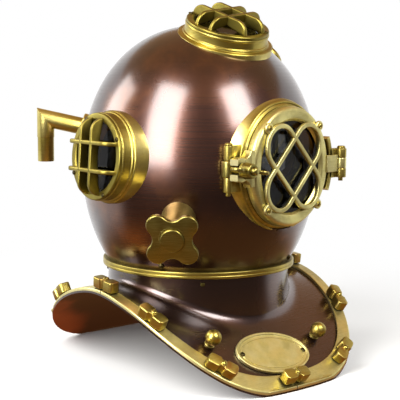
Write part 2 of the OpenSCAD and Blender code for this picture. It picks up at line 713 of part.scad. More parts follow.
// Exhaust valve: body, bridge that carries the hand wheel, and the valve that the chin pushes
bridge_z = exhaust_out - 3;
stem_z = exhaust_out - 2 - chin_travel;
module exhaust_body() {
    color([0.66, 0.55, 0.28]) difference() {
        at_exhaust() turned([[12, -30], [exhaust_r, -30], [exhaust_r, bridge_z - 1.2],
            [exhaust_r - 1.2, bridge_z], [15, bridge_z], [15, 7.7], [12, 7.7]]);
        at_exhaust() translate([-exhaust_r, 0, 16]) rotate([0, 90, 0]) disc(1.2, -3, 3);
        bonnet_solid(seat_gap);
    }
}
module exhaust_bridge() {
    color([0.66, 0.55, 0.28]) at_exhaust() difference() {
        union() {
            disc(14.9, bridge_z - 6, bridge_z);
            disc(7, bridge_z - 1, exhaust_out - 1.5);
            disc(4, exhaust_out - 2, exhaust_out + wheel_t - 1.4);
        }
        for (a = [0:60:300]) rotate([0, 0, a]) translate([11, 0, 0]) disc(2.2, 0, exhaust_out);
        disc(2.6, 0, exhaust_out + 1);
    }
}

// Wheel outline: four round lobes joined by hollow arcs that touch them smoothly
hollow_r = (pow(waist_r - lobe_at, 2) + pow(lobe_at, 2) - pow(lobe_r, 2))
    / (2 * (lobe_r - waist_r + lobe_at));
swing = atan2(waist_r + hollow_r - lobe_at, lobe_at);
function arc(x, y, r, a0, a1, n) = [for (i = [0:n]) let (a = a0 + (a1 - a0) * i / n)
    [x + r * cos(a), y + r * sin(a)]];
lobe_line = concat(arc(lobe_at, lobe_at, lobe_r, swing - 90, 180 - swing, 22),
    back(arc(0, waist_r + hollow_r, hollow_r, swing - 170, -swing - 10, 8)));
module exhaust_wheel() {
    color([0.60, 0.50, 0.24]) at_exhaust() translate([0, 0, exhaust_out - 1.2]) difference() {
        linear_extrude(wheel_t) difference() {
            polygon([for (a = [0:90:270]) for (p = lobe_line)
                [p[0] * cos(a) - p[1] * sin(a), p[0] * sin(a) + p[1] * cos(a)]]);
            circle(4 + pin_gap);
        }
        disc(14, wheel_t - 2.4, wheel_t + 1);
    }
}
module wheel_cap() {
    color([0.62, 0.53, 0.27]) at_exhaust() translate([0, 0, exhaust_out - 1.2 + wheel_t - 2.3])
        turned([[4.15, 0], [13.8, 0], [13.8, 4], [12.6, 5.2], [0, 5.2], [0, 2.5], [4.15, 2.5]]);
}
module chin_valve() {
    color([0.55, 0.46, 0.24]) at_exhaust() {
        turned([[0, -52], [11, -52], [12, -50], [11, -47], [2.5, -46], [2.5, 8], [14, 8], [14, 10.5],
            [2.5, 12], [2.5, stem_z], [0, stem_z]]);
    }
}

// Door with its hinge lug and the forked lug that the swing bolt drops into
glass_r = door_hole_r + 4;
lug_h = 13;
module front_door() {
    color([0.76, 0.67, 0.38]) difference() {
        union() {
            at_door() turned([[door_hole_r, door_face - 3], [door_hole_r + 2.6, door_face - 0.6],
                [door_hole_r + 4.6, door_face], [door_r - 4.6, door_face], [door_r - 1.4, door_face - 1.6],
                [door_r, door_face - 4.4], [door_r, door_back], [glass_r + 0.3, door_back],
                [glass_r + 0.3, door_face - 3.6], [door_hole_r, door_face - 3.6]]);
            door_lug_block(latch_x + 3.4, -door_r + 3, 30);
            translate([latch_x, 0, latch_z]) rotate([90, 0, 0]) disc(14, door_back, door_face);
            difference() {
                translate([latch_x + 6, -door_face, latch_z - 21]) cube([17, door_t, 42]);
                for (s = [-1, 1]) translate([latch_x + 3, 0, latch_z + s * 26]) rotate([90, 0, 0])
                    cylinder(r = 14, h = far);
            }
            translate([door_r - 3, -door_face, door_z - knuckle_gap + run_gap])
                cube([hinge_out + 3 - 4, door_t - 1.6, 2 * (knuckle_gap - run_gap)]);
            translate([hinge_x, -door_face, door_z - knuckle_gap + run_gap])
                cylinder(r = knuckle_r, h = 2 * (knuckle_gap - run_gap));
            translate([door_r - 5, -door_face - 1.6, door_z - 10.5]) cube([22, 3.4, 21]);
        }
        at_door() disc(door_r - 4, door_back - 20, door_back);
        at_door() disc(door_hole_r, 0, far);
        at_door() disc(glass_r + 0.3, 0, door_face - 3.6);
        translate([latch_x, 0, latch_z]) rotate([90, 0, 0]) cylinder(r = shank_r + 0.8, h = far);
        translate([latch_x - 30, -far, latch_z - shank_r - 0.8]) cube([30, far, 2 * (shank_r + 0.8)]);
        translate([latch_x - 37, -far, latch_z - 30]) cube([30, far, 60]);
        translate([hinge_x, -door_face, door_z - 40]) cylinder(r = hinge_pin_r + pin_gap, h = 80);
    }
}
module door_lug_block(x0, x1, h) {
    translate([x0, -door_face, latch_z - h / 2]) cube([x1 - x0, door_t, h]);
}
module door_glass() {
    color([0.03, 0.03, 0.03]) at_door() disc(glass_r, door_face - 9.6, door_face - 3.7);
}
module glass_retainer() {
    color([0.60, 0.50, 0.26]) at_door() pipe(glass_r + 0.1, door_hole_r, door_back + 0.05, door_face - 9.7);
}
module loop(a) {
    rotate([0, 0, a]) linear_extrude(bar_t) difference() {
        union() {
            for (s = [-1, 1]) translate([s * loop_reach, 0]) circle(loop_r);
            square([2 * loop_reach, 2 * loop_r], center = true);
        }
        for (s = [-1, 1]) translate([s * loop_reach, 0]) circle(loop_r - bar_w);
        square([2 * loop_reach, 2 * (loop_r - bar_w)], center = true);
    }
}
tab_r = door_r - 4.6;
module door_guard() {
    color([0.80, 0.71, 0.42]) at_door() translate([0, 0, door_face + seat_gap]) difference() {
        union() {
            loop(45);
            loop(-45);
            for (a = [45:90:315]) rotate([0, 0, a]) {
                translate([loop_reach + loop_r - 4, -6, 0])
                    cube([tab_r - loop_reach - loop_r + 4, 12, bar_t - 0.8]);
                translate([tab_r, 0, 0]) disc(6, 0, bar_t - 0.8);
            }
        }
        for (a = [45:90:315]) rotate([0, 0, a]) translate([tab_r, 0, 0]) disc(1.8, -1, 9);
    }
}
module door_guard_screws() {
    color([0.50, 0.42, 0.24]) at_door() translate([0, 0, door_face + seat_gap + bar_t - 0.7])
        for (a = [45:90:315]) rotate([0, 0, a]) translate([tab_r, 0, 0]) slotted_screw(3.2, 2.2, 1.7, 3.2);
}

// Swing bolt with its eye round the latch pin, a washer and the wing nut
bolt_end = nut_y + 20;
module swing_bolt() {
    color([0.58, 0.48, 0.25]) difference() {
        union() {
            translate([latch_x, latch_y, latch_z - ear_gap + run_gap])
                cylinder(r = eye_r, h = 2 * (ear_gap - run_gap));
            translate([latch_x, latch_y, latch_z]) rotate([90, 0, 0])
                cylinder(r = shank_r, h = bolt_end + latch_y);
        }
        translate([latch_x, latch_y, latch_z - 40]) cylinder(r = 3 + pin_gap, h = 80);
    }
}
module on_bolt() { translate([latch_x, 0, latch_z]) rotate([90, 0, 0]) children(); }
module bolt_washer() {
    color([0.66, 0.56, 0.30]) on_bolt() pipe(9, shank_r + pin_gap, nut_y, nut_y + 2.2);
}
module wing_nut() {
    nut_l = 12;
    color([0.60, 0.47, 0.24]) on_bolt() translate([0, 0, nut_y + 2.5]) difference() {
        union() {
            turned([[0, 0], [9.4, 0], [9.4, 2], [8, nut_l], [0, nut_l]]);
            for (s = [-1, 1]) rotate([0, 0, -8]) scale([s, 1, 1]) {
                translate([6, -2.2, 2]) cube([wing_span - 13, 4.4, 8.5]);
                translate([wing_span - 7.4, 2.2, 7.4]) rotate([90, 0, 0]) cylinder(r = 7.4, h = 4.4);
            }
        }
        disc(shank_r + pin_gap, -1, nut_l + 1);
    }
}

breastplate();
collar_ring();
neck_gasket();
rim_front_right();
rim_front_left();
rim_back_right();
rim_back_left();
rim_clamps();
clamp_screws();
weight_balls();
oval_plate();
oval_plate_screws();
collar_screws();
bonnet();
bonnet_ring();
ring_studs();
front_barrel();
door_gasket();
hinge_pin();
latch_pin();
top_window();
right_window();
left_window();
top_gasket();
right_gasket();
left_gasket();
top_glass();
right_glass();
left_glass();
top_guard();
right_guard();
left_guard();
guard_screws();
air_elbow();
air_spigot();
phone_elbow();
phone_spigot();
speaker_cup();
exhaust_body();
exhaust_bridge();
front_door();
door_glass();
glass_retainer();
door_guard();
door_guard_screws();
swing_bolt();
bolt_washer();
wing_nut();
exhaust_wheel();
wheel_cap();
chin_valve();
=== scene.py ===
"""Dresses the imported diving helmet: spun copper, antiqued brass, glass, and a plain studio."""

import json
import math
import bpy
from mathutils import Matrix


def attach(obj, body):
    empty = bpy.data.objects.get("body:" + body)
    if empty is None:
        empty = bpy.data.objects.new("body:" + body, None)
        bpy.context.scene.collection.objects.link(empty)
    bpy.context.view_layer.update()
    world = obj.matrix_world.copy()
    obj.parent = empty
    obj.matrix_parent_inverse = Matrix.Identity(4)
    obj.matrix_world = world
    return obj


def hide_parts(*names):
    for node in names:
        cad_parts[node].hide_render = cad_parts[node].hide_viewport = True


bl_info = {
    "name": "Diving helmet",
    "version": (1, 0, 0),
    "blender": (4, 5, 0),
    "location": "View3D > Sidebar > Helmet",
    "description": "Builds the visible surfaces of a copper and brass diving helmet",
    "category": "Add Mesh",
}

from types import SimpleNamespace

import bmesh
import bpy
import numpy as np
from mathutils import Matrix, Vector

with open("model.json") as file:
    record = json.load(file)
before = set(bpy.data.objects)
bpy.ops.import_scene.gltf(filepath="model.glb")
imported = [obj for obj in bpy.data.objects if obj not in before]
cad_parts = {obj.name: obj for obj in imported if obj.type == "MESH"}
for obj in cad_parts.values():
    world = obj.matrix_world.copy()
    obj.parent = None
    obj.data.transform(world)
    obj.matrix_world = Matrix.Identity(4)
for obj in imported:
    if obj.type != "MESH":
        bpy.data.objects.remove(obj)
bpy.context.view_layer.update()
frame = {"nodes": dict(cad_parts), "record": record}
MM = 0.001


def length(name, description, value):
    """A size that is given in millimetres and kept in metres."""
    return bpy.props.FloatProperty(name=name, description=description, default=value * MM,
                                   unit="LENGTH", subtype="DISTANCE", precision=5)


def angle(name, description, value):
    """An angle that is given in degrees and kept in radians."""
    return bpy.props.FloatProperty(name=name, description=description, default=math.radians(value),
                                   unit="ROTATION", subtype="ANGLE")


def ratio(name, description, value):
    return bpy.props.FloatProperty(name=name, description=description, default=value)


def colour(name, description, value):
    return bpy.props.FloatVectorProperty(name=name, description=description, default=value, size=3,
                                         subtype="COLOR", min=0.0, max=1.0)


class HELMET_PG_plate(bpy.types.PropertyGroup):
    """Sizes of the breastplate, its rim and its fittings"""
    plate_half_w: length("Half width", "Neck axis to the shoulder outline", 162.4)
    plate_half_l: length("Half length", "Neck axis to the tip of a lobe", 190.6)
    plate_square: ratio("Squareness", "Exponent of the outline, where 2 is an ellipse", 2.68)
    shoulder_h: length("Shoulder height", "Shoulder line at the neck axis", 111)
    shoulder_drop: length("Shoulder drop", "Fall of the shoulder line to the outline", 4.5)
    plate_slope: ratio("Slope", "Exponent of the front and back slopes", 1.84)
    foot_cut: length("Foot cut", "Depth that is cut flat from the lobes", 2)
    plate_wall: length("Wall", "Upright thickness of the copper sheet", 2.4)
    plate_turn: angle("Turn", "Turn of the breastplate away from the front window", -6)
    collar_r: length("Collar radius", "Outside of the collar", 115)
    collar_rise: length("Collar rise", "Collar top over the shoulder line", 11)
    collar_foot: length("Collar foot", "Width of the round foot of the collar", 15)
    foot_strip: length("Foot strip", "Width of the flat strip under the rim", 4)
    rim_w: length("Rim width", "Width of the brass rim", 16)
    rim_t: length("Rim thickness", "Thickness of the brass rim", 3.6)
    clamp_l: length("Clamp length", "Length of a clamp block", 37)
    clamp_w: length("Clamp width", "Width of a clamp block", 14.6)
    clamp_h: length("Clamp height", "Height of a clamp block", 12.5)
    clamp_round: length("Clamp corners", "Radius of a clamp's corners and of its notches", 4.6)
    clamp_lift: length("Clamp lift", "Gap under a clamp block at the middle of the rim", 1.1)
    clamp_turn: angle("Clamp turn", "Turn of the ring of clamps", -3.5)
    ball_r: length("Ball radius", "Radius of the balls that carry the chest weights", 9.6)
    oval_l: length("Oval length", "Length of the oval plate", 106)
    oval_w: length("Oval width", "Width of the oval plate", 57)
    badge_turn: angle("Oval turn", "Turn of the oval plate and the balls round the neck", -5.5)


class HELMET_PG_bonnet(bpy.types.PropertyGroup):
    """Sizes of the bonnet, its ring and what stands on it"""
    ring_h: length("Ring height", "Height of the bonnet ring", 8)
    ring_lip: length("Ring lip", "How far the bonnet ring stands out from the collar", 6.5)
    bonnet_r: length("Bonnet radius", "Largest radius of the bonnet", 147.3)
    bonnet_rise: length("Bonnet rise", "Widest level over the bonnet ring", 114.8)
    crown_h: length("Crown height", "Crown over the widest level", 176)
    crown_square: ratio("Crown squareness", "Exponent of the upper half, where 2 is an ellipse", 2.12)
    bonnet_wall: length("Wall", "Thickness of the copper of the bonnet", 2)
    elbow_r: length("Elbow radius", "Outside of an elbow's tube", 10.7)
    elbow_reach: length("Elbow reach", "Drop of an elbow from the bonnet's largest radius", 46.2)
    elbow_rise: length("Elbow rise", "Corner of an elbow over the widest level", 59)
    elbow_slope: angle("Elbow slope", "Upward slope of the elbow's arm", 12)
    elbow_drop: length("Elbow drop", "Length of the drop from the corner", 54)
    tail_r: length("Hose end", "Radius of the hose end of an elbow", 10.2)
    tail_l: length("Hose end length", "Length of the hose end of an elbow", 30)
    elbow_bore_r: length("Elbow bore", "Radius of the bore of an elbow", 7.5)
    exhaust_r: length("Valve radius", "Radius of the exhaust valve's body", 20)
    exhaust_out: length("Wheel distance", "Hand wheel over the copper", 58)
    wheel_t: length("Wheel thickness", "Thickness of the hand wheel", 7)
    lobe_r: length("Lobe radius", "Radius of a lobe of the hand wheel", 12)
    lobe_at: length("Lobe place", "Sideways distance of a lobe's middle from the wheel's axes", 16.5)
    waist_r: length("Waist", "Radius of the wheel between two lobes", 22)
    cup_r: length("Cup radius", "Radius of the speaker cup", 24)
    cup_h: length("Cup height", "Height of the speaker cup", 17)


class HELMET_PG_window(bpy.types.PropertyGroup):
    """Sizes of the front window, its hinge and latch, and the fixed windows"""
    door_rise: length("Window rise", "Front window over the widest level", 8.4)
    barrel_r: length("Barrel radius", "Radius of the front barrel's front face", 76.5)
    barrel_cone: ratio("Barrel cone", "Growth of the barrel's radius towards the copper", 0.45)
    barrel_sink: length("Barrel sink", "How far the barrel's face stands inside the bonnet's radius", 9.3)
    door_r: length("Door radius", "Outside of the door", 71)
    door_hole_r: length("Door opening", "Radius of the opening of the door", 54)
    door_t: length("Door thickness", "Thickness of the door", 11.6)
    loop_r: length("Loop radius", "Half width of a loop of the front guard", 27)
    loop_reach: length("Loop reach", "Half length of the straight part of a loop", 35)
    bar_w: length("Bar width", "Width of the bars of the front guard", 5.6)
    bar_t: length("Bar thickness", "Thickness of the bars of the front guard", 4.6)
    hinge_pin_r: length("Hinge pin", "Radius of the hinge pin", 3.2)
    knuckle_r: length("Knuckle", "Radius of the hinge knuckles", 6.6)
    hinge_out: length("Hinge distance", "Hinge pin outside the door's rim", 25)
    latch_out: length("Latch distance", "Swing bolt's pin outside the door's rim", 19)
    shank_r: length("Shank", "Radius of the swing bolt's shank", 4.4)
    eye_r: length("Eye", "Radius of the swing bolt's eye", 8)
    wing_span: length("Wing span", "Half span of the wing nut", 29)
    top_flange_r: length("Top flange radius", "Outside of the top window's flange", 58.6)
    side_flange_r: length("Side flange radius", "Outside of a side window's flange", 54.6)
    step_r: length("Step radius", "Upper step of a fixed window", 51)
    top_step_h: length("Top step height", "Step over the flange on the top window", 19)
    side_step_h: length("Side step height", "Step over the flange on a side window", 20)
    pane_hole_r: length("Window hole", "Radius of the hole through a fixed window", 40)
    side_rise: length("Side rise", "Side windows over the widest level", 18.6)
    side_over: length("Side over", "How far a side window's flange stands out of the bonnet's radius", 0.7)
    side_turn: angle("Side place", "Place of the side windows, turned to the rear", 2)
    side_face: angle("Side turn", "Turn of a side window to the rear about its middle", 6)
    side_lift: angle("Side lift", "Upward lean of the side windows", 4)
    top_lean: angle("Top lean", "Forward lean of the top window", 20.3)
    top_tilt: angle("Top tilt", "Lean of the top window to the diver's right", 8)
    top_ahead: length("Top ahead", "How far the top window stands forward", 49)
    top_side: length("Top aside", "How far the top window stands to the diver's right", 7.5)
    top_sink: length("Top sink", "Top window's flange under the top of the crown", 16.6)
    fin_t: length("Fin thickness", "Thickness of a guard fin", 5)
    fin_h: length("Fin height", "Height of a guard fin", 15)
    fin_near: length("Near fins", "Distance of the upright fins from the middle", 11)
    fin_far: length("Far fins", "Distance of the level fins from the middle", 16)


class HELMET_PG_colours(bpy.types.PropertyGroup):
    """Colours of the finishes"""
    copper_dark: colour("Dark copper", "Patina of the bonnet in its dark clouds", (0.040, 0.012, 0.007))
    copper: colour("Copper", "Patina of the bonnet", (0.120, 0.037, 0.016))
    # Warm copper is the colour of the warm clouds, which are strongest towards the bottom of the bonnet.
    copper_warm: colour("Warm copper", "Rubbed through areas of the bonnet", (0.36, 0.13, 0.03))
    plate_dark: colour("Dark plate", "Patina of the breastplate in its dark clouds", (0.040, 0.016, 0.012))
    plate: colour("Plate", "Patina of the breastplate", (0.105, 0.045, 0.030))
    # Warm plate is the colour of the warm clouds, which are strongest towards the bottom of the
    # breastplate.
    plate_warm: colour("Warm plate", "Rubbed through areas of the breastplate", (0.30, 0.13, 0.05))
    # Inside and Inside, dark are the lit colour and the painted shade of the breastplate's inner face.
    inside: colour("Inside", "Inner face of the breastplate", (0.30, 0.055, 0.012))
    # Dark brass is the tone of the darker clouds and the colour of the painted shade in recesses.
    brass_dark: colour("Dark brass", "Brass in its recesses", (0.09, 0.058, 0.008))
    brass: colour("Brass", "Antiqued brass", (0.47, 0.37, 0.070))
    brass_pale: colour("Pale brass", "Rubbed edges of the brass", (0.78, 0.67, 0.24))
    brass_bright: colour("Bright brass", "Rubbed edges of the pale brass", (0.95, 0.88, 0.50))
    olive: colour("Olive brass", "Cast brass of the window guards", (0.27, 0.225, 0.045))
    # The rim colour is paler brass, lightened partly as painted light: it also stands for the shine of the
    # rim, which faces up and outwards into the lamps.
    rim: colour("Rim brass", "Paler brass of the rim and the front door", (0.82, 0.74, 0.27))
    inside_dark: colour("Inside, dark", "Inner face of the breastplate in shade", (0.045, 0.003, 0.002))
    rust: colour("Orange brass", "Orange-brown stain on cast brass", (0.33, 0.15, 0.035))
    black: colour("Black brass", "Blackened brass of small screws", (0.035, 0.025, 0.018))


PARTS = ("plate", "bonnet", "window")


def read_sizes():
    """All sizes in one place, lengths in millimetres and angles in degrees."""
    scale = {"LENGTH": 1 / MM, "ROTATION": 180 / math.pi}
    sizes = {}
    for part in PARTS:
        group = getattr(bpy.context.scene, "helmet_" + part)
        for name, kind in group.bl_rna.properties.items():
            if hasattr(kind, "unit") and kind.type == "FLOAT":
                sizes[name] = getattr(group, name) * scale.get(kind.unit, 1.0)
    s = SimpleNamespace(**sizes)
    gasket_t, neck_step, latch_up, door_gap, ear_back, washer_slack = 1.3, 1.3, 1.6, 0.7, 8, 2.4
    s.collar_top = s.shoulder_h + s.collar_rise
    s.ring_z = s.collar_top + gasket_t
    s.bonnet_z = s.ring_z + s.ring_h
    s.mid_z = s.bonnet_z + s.bonnet_rise
    s.ring_r = s.collar_r + s.ring_lip
    s.neck_out_r = s.collar_r + neck_step
    s.low_h = s.bonnet_rise / math.sqrt(1 - (s.neck_out_r / s.bonnet_r) ** 2)
    s.door_z = s.mid_z + s.door_rise
    s.latch_z = s.door_z + latch_up
    s.latch_x = -(s.door_r + s.latch_out)
    s.hinge_x = s.door_r + s.hinge_out
    s.barrel_y, s.side_out = s.bonnet_r - s.barrel_sink, s.bonnet_r + s.side_over
    s.top_rise, s.elbow_out = s.crown_h - s.top_sink, s.bonnet_r + s.elbow_reach
    s.door_back = s.barrel_y + door_gap
    s.door_face = s.door_back + s.door_t
    s.latch_y = -(s.barrel_y - ear_back)
    s.nut_y = s.door_face + washer_slack
    barrel_wall, barrel_step, glass_lap, tab_in, arm_in, leaf_out = 2, 2, 4, 4.6, 2.1, 4
    s.port_r = s.barrel_r - barrel_wall
    s.barrel_bore = s.door_hole_r + barrel_step
    s.glass_r = s.door_hole_r + glass_lap
    s.tab_r = s.door_r - tab_in
    s.knuckle_gap, s.arm_h, s.leaf_h, s.leaf_r = 6.7, 11.3, 25.0, s.door_r + leaf_out
    s.arm_back = s.door_face - arm_in
    s.ear_gap = 9.5
    lug_root, lug_tip, ball_in, badge_in = 5.9, 0.9, 33.6, 38.4
    s.lug_in, s.lug_out, s.lug_angle = s.collar_r - lug_root, s.collar_r - lug_tip, 40.0
    s.ball_at, s.ball_turn, s.badge_at = s.plate_half_l - ball_in, 30.3, s.plate_half_l - badge_in
    bridge_under, pane_lap, neck_wall = 3, 6, 1.5
    s.bridge_z = s.exhaust_out - bridge_under
    s.recess_r = s.pane_hole_r + pane_lap
    s.hole_r = s.recess_r + neck_wall
    return s


# Placing: four by four matrices in millimetres, applied to rows of points

def shift(x, y, z):
    m = np.eye(4)
    m[:3, 3] = x, y, z
    return m


def turn(axis, degrees):
    """The turn by that angle about one of the three axes, by the right-hand rule."""
    c, s = math.cos(math.radians(degrees)), math.sin(math.radians(degrees))
    m = np.eye(4)
    i, j = {"X": (1, 2), "Y": (2, 0), "Z": (0, 1)}[axis]
    m[i, i] = m[j, j] = c
    m[i, j], m[j, i] = -s, s
    return m


MIRROR = np.diag([-1.0, 1, 1, 1])


def on_plate_body(s):
    """The breastplate's turn under the bonnet."""
    return turn("Z", s.plate_turn)


def at_door(s):
    """The front window's axis, as Z that faces forwards."""
    return shift(0, 0, s.door_z) @ turn("X", 90)


def at_right(s):
    return (turn("Z", -s.side_turn) @ shift(-s.side_out, 0, s.mid_z + s.side_rise)
            @ turn("Z", -s.side_face) @ turn("Y", s.side_lift - 90))


def at_left(s):
    return MIRROR @ at_right(s)


def at_top(s):
    return (shift(-s.top_side, -s.top_ahead, s.mid_z + s.top_rise) @ turn("Y", -s.top_tilt)
            @ turn("X", s.top_lean) @ turn("Z", 90))


def on_bonnet(s, level, azimuth, tip, yaw=0.0):
    """A place on the copper at that level and azimuth, facing `tip` degrees above the horizon and
    `yaw` degrees aside."""
    r = float(bonnet_radius(s, level))
    a = math.radians(azimuth)
    return (shift(r * math.cos(a), r * math.sin(a), level) @ turn("Z", azimuth + yaw)
            @ turn("Y", 90 - tip))


def at_exhaust(s):
    return on_bonnet(s, level=s.mid_z - 48.8, azimuth=-146, tip=-14, yaw=4)


def at_cup(s):
    return on_bonnet(s, level=s.mid_z + 131, azimuth=-8, tip=41)


def at_elbow(side):
    return turn("Z", 45 if side > 0 else 135)


def on_bolt(s):
    return shift(s.latch_x, 0, s.latch_z) @ turn("X", 90)


# Surfaces: each is a pair of points and four-cornered faces, and may hold several closed shapes

def grid(points, wrap_u=True, wrap_v=True):
    """Faces between neighbouring points of a grid p[u, v]. A row that meets in one point closes a pole."""
    n, m = points.shape[:2]
    i, j = np.meshgrid(np.arange(n if wrap_u else n - 1), np.arange(m if wrap_v else m - 1), indexing="ij")
    a, b = i.ravel() * m, (i.ravel() + 1) % n * m
    c, d = j.ravel(), (j.ravel() + 1) % m
    return outward(points.reshape(-1, 3), np.stack([a + c, b + c, b + d, a + d], 1))


def outward(points, faces):
    """Turns the faces over where the volume that they enclose, a sixth of the sum of each
    triangle's triple product, comes out negative."""
    p = points[faces] - points.mean(0)
    volume = (np.einsum("ij,ij->i", p[:, 0], np.cross(p[:, 1], p[:, 2]))
              + np.einsum("ij,ij->i", p[:, 0], np.cross(p[:, 2], p[:, 3]))).sum()
    return points, faces if volume > 0 else faces[:, ::-1]


def placed(surface, *places):
    """Copies of a surface, one at each place. A mirrored place turns its faces over."""
    points, faces = surface
    out = []
    for m in places:
        moved = points @ m[:3, :3].T + m[:3, 3]
        out.append((moved, faces if np.linalg.det(m[:3, :3]) > 0 else faces[:, ::-1]))
    return joined(*out)


def joined(*surfaces):
    """One surface of several, with the faces counted on."""
    starts = np.cumsum([0] + [len(p) for p, _ in surfaces[:-1]])
    return (np.concatenate([p for p, _ in surfaces]),
            np.concatenate([f + k for (_, f), k in zip(surfaces, starts)]))


def rounded(corners, reach, steps=4):
    """Rounds each corner C of a closed outline by the curve (1-t)^2 A + 2t(1-t) C + t^2 B, where A
    and B lie `reach` from C on its two edges, or at 0.48 of a short edge."""
    c = np.asarray(corners, float)
    reach = np.broadcast_to(np.asarray(reach, float), len(c))[:, None]

    def cut(q):
        d = q - c
        size = np.maximum(np.linalg.norm(d, axis=1, keepdims=True), 1e-9)
        return c + d / size * np.minimum(reach, 0.48 * size)

    a, b = cut(np.roll(c, 1, 0)), cut(np.roll(c, -1, 0))
    t = np.linspace(0, 1, steps + 1)[None, :, None]
    return ((1 - t) ** 2 * a[:, None] + 2 * t * (1 - t) * c[:, None] + t ** 2 * b[:, None]).reshape(-1, 2)


def turned(profile, steps, closed=True):
    """A profile of (radius, level) rows about the local Z: p(u, v) = (r(v) cos u, r(v) sin u, z(v))."""
    u = np.linspace(0, 2 * np.pi, steps, endpoint=False)[:, None]
    return grid(np.stack([np.cos(u) * profile[:, 0], np.sin(u) * profile[:, 0],
                          np.broadcast_to(profile[:, 1], (steps, len(profile)))], -1), wrap_v=closed)


def lathe(corners, reach, steps):
    """A closed profile of corners, rounded and turned. Corners on the axis stay sharp."""
    c = np.asarray(corners, float)
    return turned(rounded(c, np.where(c[:, 0] < 1e-6, 0, np.broadcast_to(reach, len(c)))), steps)


def normals_of(path, closed=True):
    """Unit normals to the right of a flat path, square to the line between each point's neighbours."""
    if closed:
        d = np.roll(path, -1, 0) - np.roll(path, 1, 0)
    else:
        d = np.gradient(path, axis=0)
    d = d / np.maximum(np.linalg.norm(d, axis=1, keepdims=True), 1e-12)
    return np.stack([d[:, 1], -d[:, 0]], 1)


def prism(outline, z0, z1, edge, steps=3):
    """A closed outline raised from z0 to z1 with quarter-round edges: row w is the outline moved
    inwards by edge (1 - cos w) at level edge (1 - sin w) from the face, and each face is a fan."""
    path = np.asarray(outline, float)
    n = normals_of(path)
    area = 0.5 * np.sum(path[:, 0] * np.roll(path[:, 1], -1) - np.roll(path[:, 0], -1) * path[:, 1])
    n = n if area > 0 else -n
    w = np.linspace(0, np.pi / 2, steps + 1)
    inset = np.concatenate([edge * (1 - np.cos(w[::-1])), edge * (1 - np.cos(w))])
    level = np.concatenate([z0 + edge * (1 - np.sin(w[::-1])), z1 - edge * (1 - np.sin(w))])
    rows = np.concatenate([path[None] - n[None] * inset[:, None, None],
                           np.broadcast_to(level[:, None, None], (len(level), len(path), 1))], -1)
    middle = path.mean(0)
    caps = [np.broadcast_to([*middle, z], (1, len(path), 3)) for z in (z0, z1)]
    return grid(np.concatenate([caps[0], rows, caps[1]]), wrap_u=False)


def band(path, profile, closed=True):
    """A profile of (offset, level) points carried along a flat path: p(u, v) = path(u) +
    normal(u) offset(v), at level(v). An open band ends in flat fans."""
    n = normals_of(path, closed)
    p = np.concatenate([path[:, None] + n[:, None] * profile[None, :, :1],
                        np.broadcast_to(profile[None, :, 1:], (len(path), len(profile), 1))], -1)
    return grid(p if closed else capped(p), wrap_u=closed)


def capped(points):
    """Adds the middle of the first and last rows, so that both ends close in a fan."""
    ends = [np.broadcast_to(r.mean(0), (1,) + r.shape) for r in (points[0], points[-1])]
    return np.concatenate([ends[0], points, ends[1]])


def box_profile(w, z0, z1, reach):
    """A rounded rectangle of (offset, level) points."""
    return rounded([[-w / 2, z0], [w / 2, z0], [w / 2, z1], [-w / 2, z1]], reach)


def block(x0, x1, y0, y1, z0, z1, edge):
    """A box with rounded edges, as a rounded rectangle raised from z0 to z1."""
    return prism(rounded([[x0, y0], [x1, y0], [x1, y1], [x0, y1]], edge * 1.4), z0, z1, edge)


def cylinder(r, z0, z1, edge, steps=48):
    """A solid cylinder with rounded edges."""
    return lathe([[0, z0], [r, z0], [r, z1], [0, z1]], edge, steps)


def slotted_screw(head_r, head_h, depth, shank_r):
    """A slotted head: a low dome z = h (1 - 0.5 (r/R)^3), pressed down by the slot's depth where
    |y| is under half the slot's width, on a shank."""
    rho = np.linspace(0, 1, 15)
    u = np.linspace(0, 2 * np.pi, 48, endpoint=False)[:, None]
    x, y = head_r * rho * np.cos(u), head_r * rho * np.sin(u)
    z = head_h * (1 - 0.5 * rho ** 3) + 0 * u
    half_slot, slot_depth = 0.17 * head_r, 0.55 * head_h
    z = z - slot_depth * np.clip((half_slot - np.abs(y)) / (0.35 * half_slot), 0, 1)
    head = np.stack([x, y, z], -1)
    foot = [np.stack([r * np.cos(u[:, 0]), r * np.sin(u[:, 0]), np.full(len(u), level)], -1)[:, None]
            for r, level in ((head_r * 1.02, head_h * 0.4), (head_r, 0.0), (shank_r, 0.0),
                             (shank_r, -depth), (0.0, -depth))]
    return grid(np.concatenate([head, *foot], 1), wrap_v=False)


def slab(x, low, high, z0, z1, edge):
    """A closed body between two curves low(x) and high(x): its section at each x is a rounded
    rectangle from low to high and from z0 to z1, and both ends are fans."""
    flat = np.minimum(1.4 * edge, 0.4 * (high - low))
    u = np.linspace(0, np.pi / 2, 5)
    sides = [(low, z0, -1, -1), (high, z0, 1, -1), (high, z1, 1, 1), (low, z1, -1, 1)]
    rows = []
    for (edge_at, level, out, up), start in zip(sides, (np.pi, 1.5 * np.pi, 0.0, np.pi / 2)):
        a = start + u
        y = edge_at[:, None] + flat[:, None] * (np.cos(a) - out)
        z = level + edge * (np.sin(a) - up) + 0 * y
        rows.append(np.stack([np.broadcast_to(x[:, None], y.shape), y, z], -1))
    return grid(capped(np.concatenate(rows, 1)), wrap_u=False)


def foot(s, place, r, u, sink, low, high):
    """Level at which an upright wall of radius r reaches `sink` under the copper's face, at each
    angle u, found by halving the span between an inside level and an outside one."""
    r = np.broadcast_to(r, len(u))
    low, high = np.full(len(u), low), np.full(len(u), high)
    halvings = 28
    for _ in range(halvings):
        z = (low + high) / 2
        p = np.stack([r * np.cos(u), r * np.sin(u), z], -1) @ place[:3, :3].T + place[:3, 3]
        inside = np.hypot(p[:, 0], p[:, 1]) < bonnet_radius(s, p[:, 2]) - sink
        low, high = np.where(inside, z, low), np.where(inside, high, z)
    return low


